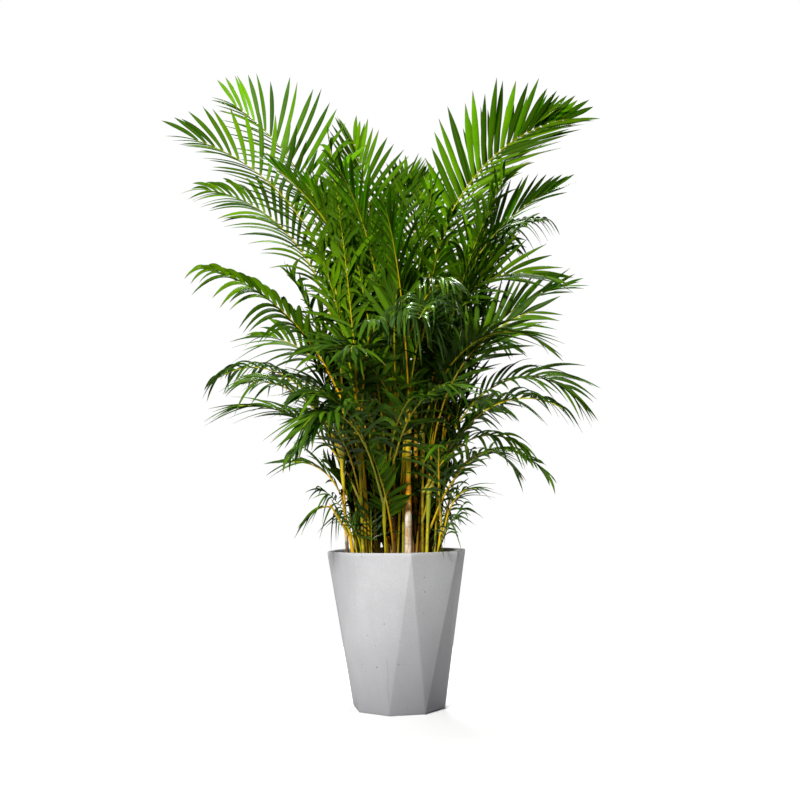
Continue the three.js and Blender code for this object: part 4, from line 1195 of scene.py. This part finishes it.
# Three heights of inner growth: stalk length, bare share, leaflet length, half width, spread, droop
INNER_KINDS = [
    ((1.00, 1.45), (0.40, 0.55), (0.24, 0.33), (0.0054, 0.0080), 38, (0.4, 1.0)),
    ((0.70, 1.05), (0.35, 0.50), (0.22, 0.30), (0.0052, 0.0078), 30, (0.4, 1.1)),
    ((0.34, 0.62), (0.04, 0.20), (0.20, 0.28), (0.0058, 0.0090), 20, (0.1, 0.6)),
]
INNER_FRONDS = 66
GOLDEN_ANGLE = 2.39996
for number in range(INNER_FRONDS):
    seed = 700 + number
    random = np.random.default_rng(seed)
    length, bare, span, half_width, spread, droop = INNER_KINDS[number % 3]
    # Feet spread evenly over the soil by the golden angle, all but the tall ones behind the canes
    turn = number * GOLDEN_ANGLE
    reach = 0.025 + 0.125 * math.sqrt((number + 0.5) / INNER_FRONDS)
    x, y = reach * math.cos(turn), 0.035 + 0.75 * reach * math.sin(turn)
    if number % 3:
        y = 0.015 + abs(y)
    heading = math.atan2(y - 0.02 + random.normal(0, 0.05), x + random.normal(0, 0.05))
    stalk = arching_stalk((x, y, soil_height(x, y) - ROOTED), heading, random.uniform(0.02, 0.13),
                          random.uniform(0.2, 0.6), random.uniform(*length), random.uniform(0.0035, 0.0052))
    blades = hanging_leaflets(
        stalk, random.uniform(*bare), random.uniform(*span), random.uniform(*half_width),
        random.uniform(*droop), spacing=0.023, spread=spread, disorder=0.13, hook=0.0, random=random)
    # The short ones behind the canes are painted dark, as shade in the clump, and the tall ones lighter, as
    # painted light
    shade = float(random.uniform(-0.70, -0.35) if number % 3 else random.uniform(-0.10, 0.25))
    warmth = float(random.uniform(0.2, 1.0))
    frond = leafy_piece("inner_frond_%02d" % (number + 1), [stalk], blades, seed, shade, warmth, wax=0.0)

FRONT_STALK_RADIUS = 0.0042
# Fronds that arch out over the front: the points of the stalk, then its bare share, the leaflets'
# length, half width, spacing, spread, droop and hook, how waxy, how warm the stalk, and how much painted
# light lightens or darkens their green
FRONT_FRONDS = [
    ([(0.040, 0.010, 0.92), (0.065, -0.060, 1.10), (0.090, -0.150, 1.225), (0.105, -0.240, 1.285),
      (0.112, -0.330, 1.305), (0.108, -0.410, 1.300), (0.095, -0.480, 1.275), (0.075, -0.535, 1.230)],
     0.34, 0.290, 0.0060, 0.0200, 84, 0.50, 1.0, 1.0, 0.9, 0.45),
    ([(-0.040, -0.030, 0.72), (-0.060, -0.120, 0.88), (-0.085, -0.200, 0.985), (-0.115, -0.270, 1.015),
      (-0.170, -0.310, 1.000), (-0.235, -0.335, 0.945), (-0.290, -0.350, 0.880)],
     0.40, 0.200, 0.0085, 0.0220, 45, 0.9, 0.4, 0.9, 0.5, 0.55),
    ([(0.105, -0.070, 0.58), (0.165, -0.130, 0.73), (0.250, -0.180, 0.835), (0.340, -0.220, 0.865),
      (0.420, -0.250, 0.835), (0.470, -0.270, 0.785)],
     0.20, 0.170, 0.0060, 0.0220, 62, 0.6, 0.2, 0.3, 0.6, 0.05),
    ([(0.000, -0.080, 0.95), (0.000, -0.150, 1.10), (-0.002, -0.210, 1.22), (0.000, -0.250, 1.30),
      (0.008, -0.275, 1.37), (0.018, -0.290, 1.43)],
     0.62, 0.210, 0.0105, 0.0260, 44, 0.0, 0.0, 0.1, 0.5, 0.45),
    ([(-0.012, -0.070, 0.52), (-0.020, -0.110, 0.62), (-0.034, -0.144, 0.70), (-0.052, -0.172, 0.77),
      (-0.072, -0.196, 0.83), (-0.088, -0.216, 0.88)],
     0.32, 0.125, 0.0080, 0.0165, 62, 0.2, 0.0, 0.0, 1.0, 0.22),
    ([(0.085, -0.070, 0.62), (0.120, -0.100, 0.74), (0.160, -0.125, 0.84), (0.205, -0.150, 0.91),
      (0.255, -0.170, 0.96)],
     0.35, 0.180, 0.0095, 0.0210, 48, 0.7, 0.1, 0.1, 0.5, -0.05),
]
for number, (points, bare, *leaf_sizes, hook, wax, warmth, shade) in enumerate(FRONT_FRONDS):
    span, half_width, spacing, spread, droop = leaf_sizes
    seed = 880 + number
    random = np.random.default_rng(seed)
    middle, _ = even_points([np.array(point) for point in points], [0.0] * len(points), LINE_STEP)
    last = len(middle) - 1
    stalk = [(p, FRONT_STALK_RADIUS * (1 - 0.8 * k / last)) for k, p in enumerate(middle)]
    stalk = smooth_line(stalk, passes=8)
    stalk = [(p, radius, k / last) for k, (p, radius) in enumerate(stalk)]
    blades = hanging_leaflets(
        stalk, bare, span, half_width, droop, spacing, spread, disorder=0.06, hook=hook, random=random)
    name = "front_frond_%02d" % (number + 1)
    front_frond = leafy_piece(name, [stalk], blades, seed, shade, warmth, wax)

# ---------------------------------------------------------------- dry husks
# Old sheaths, dried brown and split into ragged strips, that still stand round the feet of some
# canes. They are thin and fibrous, and open out loosely from the stem.
husk_finish, tree, spot = blank_material("dry husk")
along = value_of(tree, "along")
tint = value_of(tree, "tint")
blotch = noise_value(tree, spot, 60.0, 4.0, 0.6)
fibre = lengthwise_grain(tree, spot, (700.0, 700.0, 22.0))
frayed = remap(tree, fibre, 0.35, 0.65)
brown = mix_colour(tree, frayed, (0.030, 0.012, 0.005, 1), (0.34, 0.14, 0.03, 1))
brown = mix_colour(tree, times(tree, tint, 0.6), brown, (0.42, 0.15, 0.02, 1))
brown = mix_colour(tree, remap(tree, blotch, 0.5, 0.7, 0.0, 0.8), brown, (0.020, 0.010, 0.006, 1))
brown = mix_colour(tree, remap(tree, along, 0.7, 1.0, 0.0, 0.5), brown, (0.40, 0.30, 0.16, 1))
rough = remap(tree, blotch, 0.3, 0.7, 0.6, 0.9)
finish_material(tree, bumpy_shader(tree, brown, rough, fibre, 0.6, 0.0008))

# Number of strips round each cane, and how far they reach up it
HUSKED = {"cane_04": (7, 0.11), "cane_07": (8, 0.14), "cane_08": (4, 0.05), "cane_09": (12, 0.17),
          "cane_12": (8, 0.10), "cane_13": (9, 0.13)}
RING_STEP = 0.005
# How far the strips stand off the stem, and how much further every second one does
HUSK_GAP = 0.0012
HUSK_OVERLAP = 0.0014
HUSK_ROOTED = 0.004
for number, (name, (count, height)) in enumerate(HUSKED.items()):
    seed = 900 + number
    random = np.random.default_rng(seed)
    rings = level_rings(joined_points(name)[0])
    middle, radii = even_points([centre for centre, _ in rings], [radius for _, radius in rings], RING_STEP)
    strips = []
    for k in range(count):
        turn = 2 * math.pi * (k + random.uniform(-0.3, 0.3)) / count
        out = np.array((math.cos(turn), math.sin(turn), 0))
        length = height * random.uniform(0.45, 1.15)
        gap = radii[0] + HUSK_GAP + HUSK_OVERLAP * (k % 2)
        half, whole = middle[round(length * 0.5 / RING_STEP)], middle[round(length / RING_STEP)]
        way = unit(half - middle[0])
        strips.append({
            "root": middle[0] - way * HUSK_ROOTED + out * gap, "bend": half + out * (gap + 0.001),
            "tip": whole + out * (gap + random.uniform(0.001, 0.012)), "shoulder": 0.5,
            "side": unit(np.cross(out, way)) * random.uniform(0.0045, 0.0075)})
    husk = leafy_piece("husk_" + name, [], strips, seed, shade=0.0, warmth=0.0, wax=0.0, finish=husk_finish)

# ---------------------------------------------------------------- bark chips
# Chips of split bark and crumbs of compost, strewn over the soil and caught between the stems. They
# lie loose, where they fell.
CHIP_COUNT = 900
CHIP_REACH = 0.183
CHIP_CLEARANCE = 0.004


def chip_tree():
    tree = new_tree("Bark chips")
    tree_input(tree, "Chip size", "NodeSocketFloat", 0.0042)
    tree_input(tree, "Roughness", "NodeSocketFloat", 0.0011)
    tree_input(tree, "Seed", "NodeSocketInt", 5)
    tree_input(tree, "Chip material", "NodeSocketMaterial")
    given = add_node(tree, "NodeGroupInput").outputs
    chip = add_node(tree, "GeometryNodeMeshCube", {
        "Size": (1.9, 1.1, 0.55), "Vertices X": 3, "Vertices Y": 2, "Vertices Z": 2}).outputs["Mesh"]
    turned = add_node(tree, "FunctionNodeRandomValue", {
        "Min": (-0.5, -0.5, 0.0), "Max": (0.5, 0.5, 6.28), "Seed": given["Seed"]}, data_type="FLOAT_VECTOR")
    sized = add_node(tree, "FunctionNodeRandomValue", {"Seed": given["Seed"]}, data_type="FLOAT").outputs[1]
    sized = calculate(tree, "MULTIPLY_ADD", calculate(tree, "POWER", sized, 3.0), 1.5, 0.35)
    sized = times(tree, sized, given["Chip size"])
    chips = add_node(tree, "GeometryNodeInstanceOnPoints", {
        "Points": given["Geometry"], "Instance": chip, "Rotation": turned.outputs[0],
        "Scale": sized}).outputs[0]
    chips = add_node(tree, "GeometryNodeRealizeInstances", {"Geometry": chips}).outputs[0]
    place = add_node(tree, "GeometryNodeInputPosition").outputs[0]
    ragged = add_node(tree, "ShaderNodeTexNoise", {"Vector": place, "Scale": 260.0}).outputs["Color"]
    ragged = vector_math(tree, "SUBTRACT", ragged, (0.5, 0.5, 0.5))
    reach = times(tree, given["Roughness"], 4.0)
    chips = add_node(tree, "GeometryNodeSetPosition", {
        "Geometry": chips, "Offset": scaled(tree, ragged, reach)}).outputs[0]
    chips = add_node(tree, "GeometryNodeSetMaterial", {
        "Geometry": chips, "Material": given["Chip material"]}).outputs[0]
    add_node(tree, "NodeGroupOutput", {"Geometry": chips})
    return tree


random = np.random.default_rng(77)
spots = []
while len(spots) < CHIP_COUNT:
    reach, turn = CHIP_REACH * math.sqrt(random.uniform()), random.uniform(0, 2 * math.pi)
    x, y = reach * math.cos(turn), reach * math.sin(turn)
    if all(math.hypot(x - foot_x, y - foot_y) > radius + CHIP_CLEARANCE
           for foot_x, foot_y, radius in cane_feet):
        spots.append((x, y, soil_height(x, y) + random.uniform(0.0, 0.0022)))
chips = add_piece("bark_chips", line_mesh("chip_spots", spots, [], {}))

chip_finish, tree, spot = blank_material("bark chip")
patch = noise_value(tree, spot, 70.0, 2.0)
fine = noise_value(tree, spot, 500.0, 3.0, 0.6)
mixed = remap(tree, patch, 0.4, 0.65)
brown = mix_colour(tree, mixed, (0.030, 0.016, 0.009, 1), (0.16, 0.085, 0.04, 1))
brown = mix_colour(tree, remap(tree, fine, 0.5, 0.75, 0.0, 0.6), brown, (0.015, 0.009, 0.006, 1))
rough = remap(tree, patch, 0.3, 0.7, 0.75, 0.95)
finish_material(tree, bumpy_shader(tree, brown, rough, fine, 0.6, 0.0008))
run_tree(chips, chip_tree(), {"Chip material": chip_finish})
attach(chips, "root")
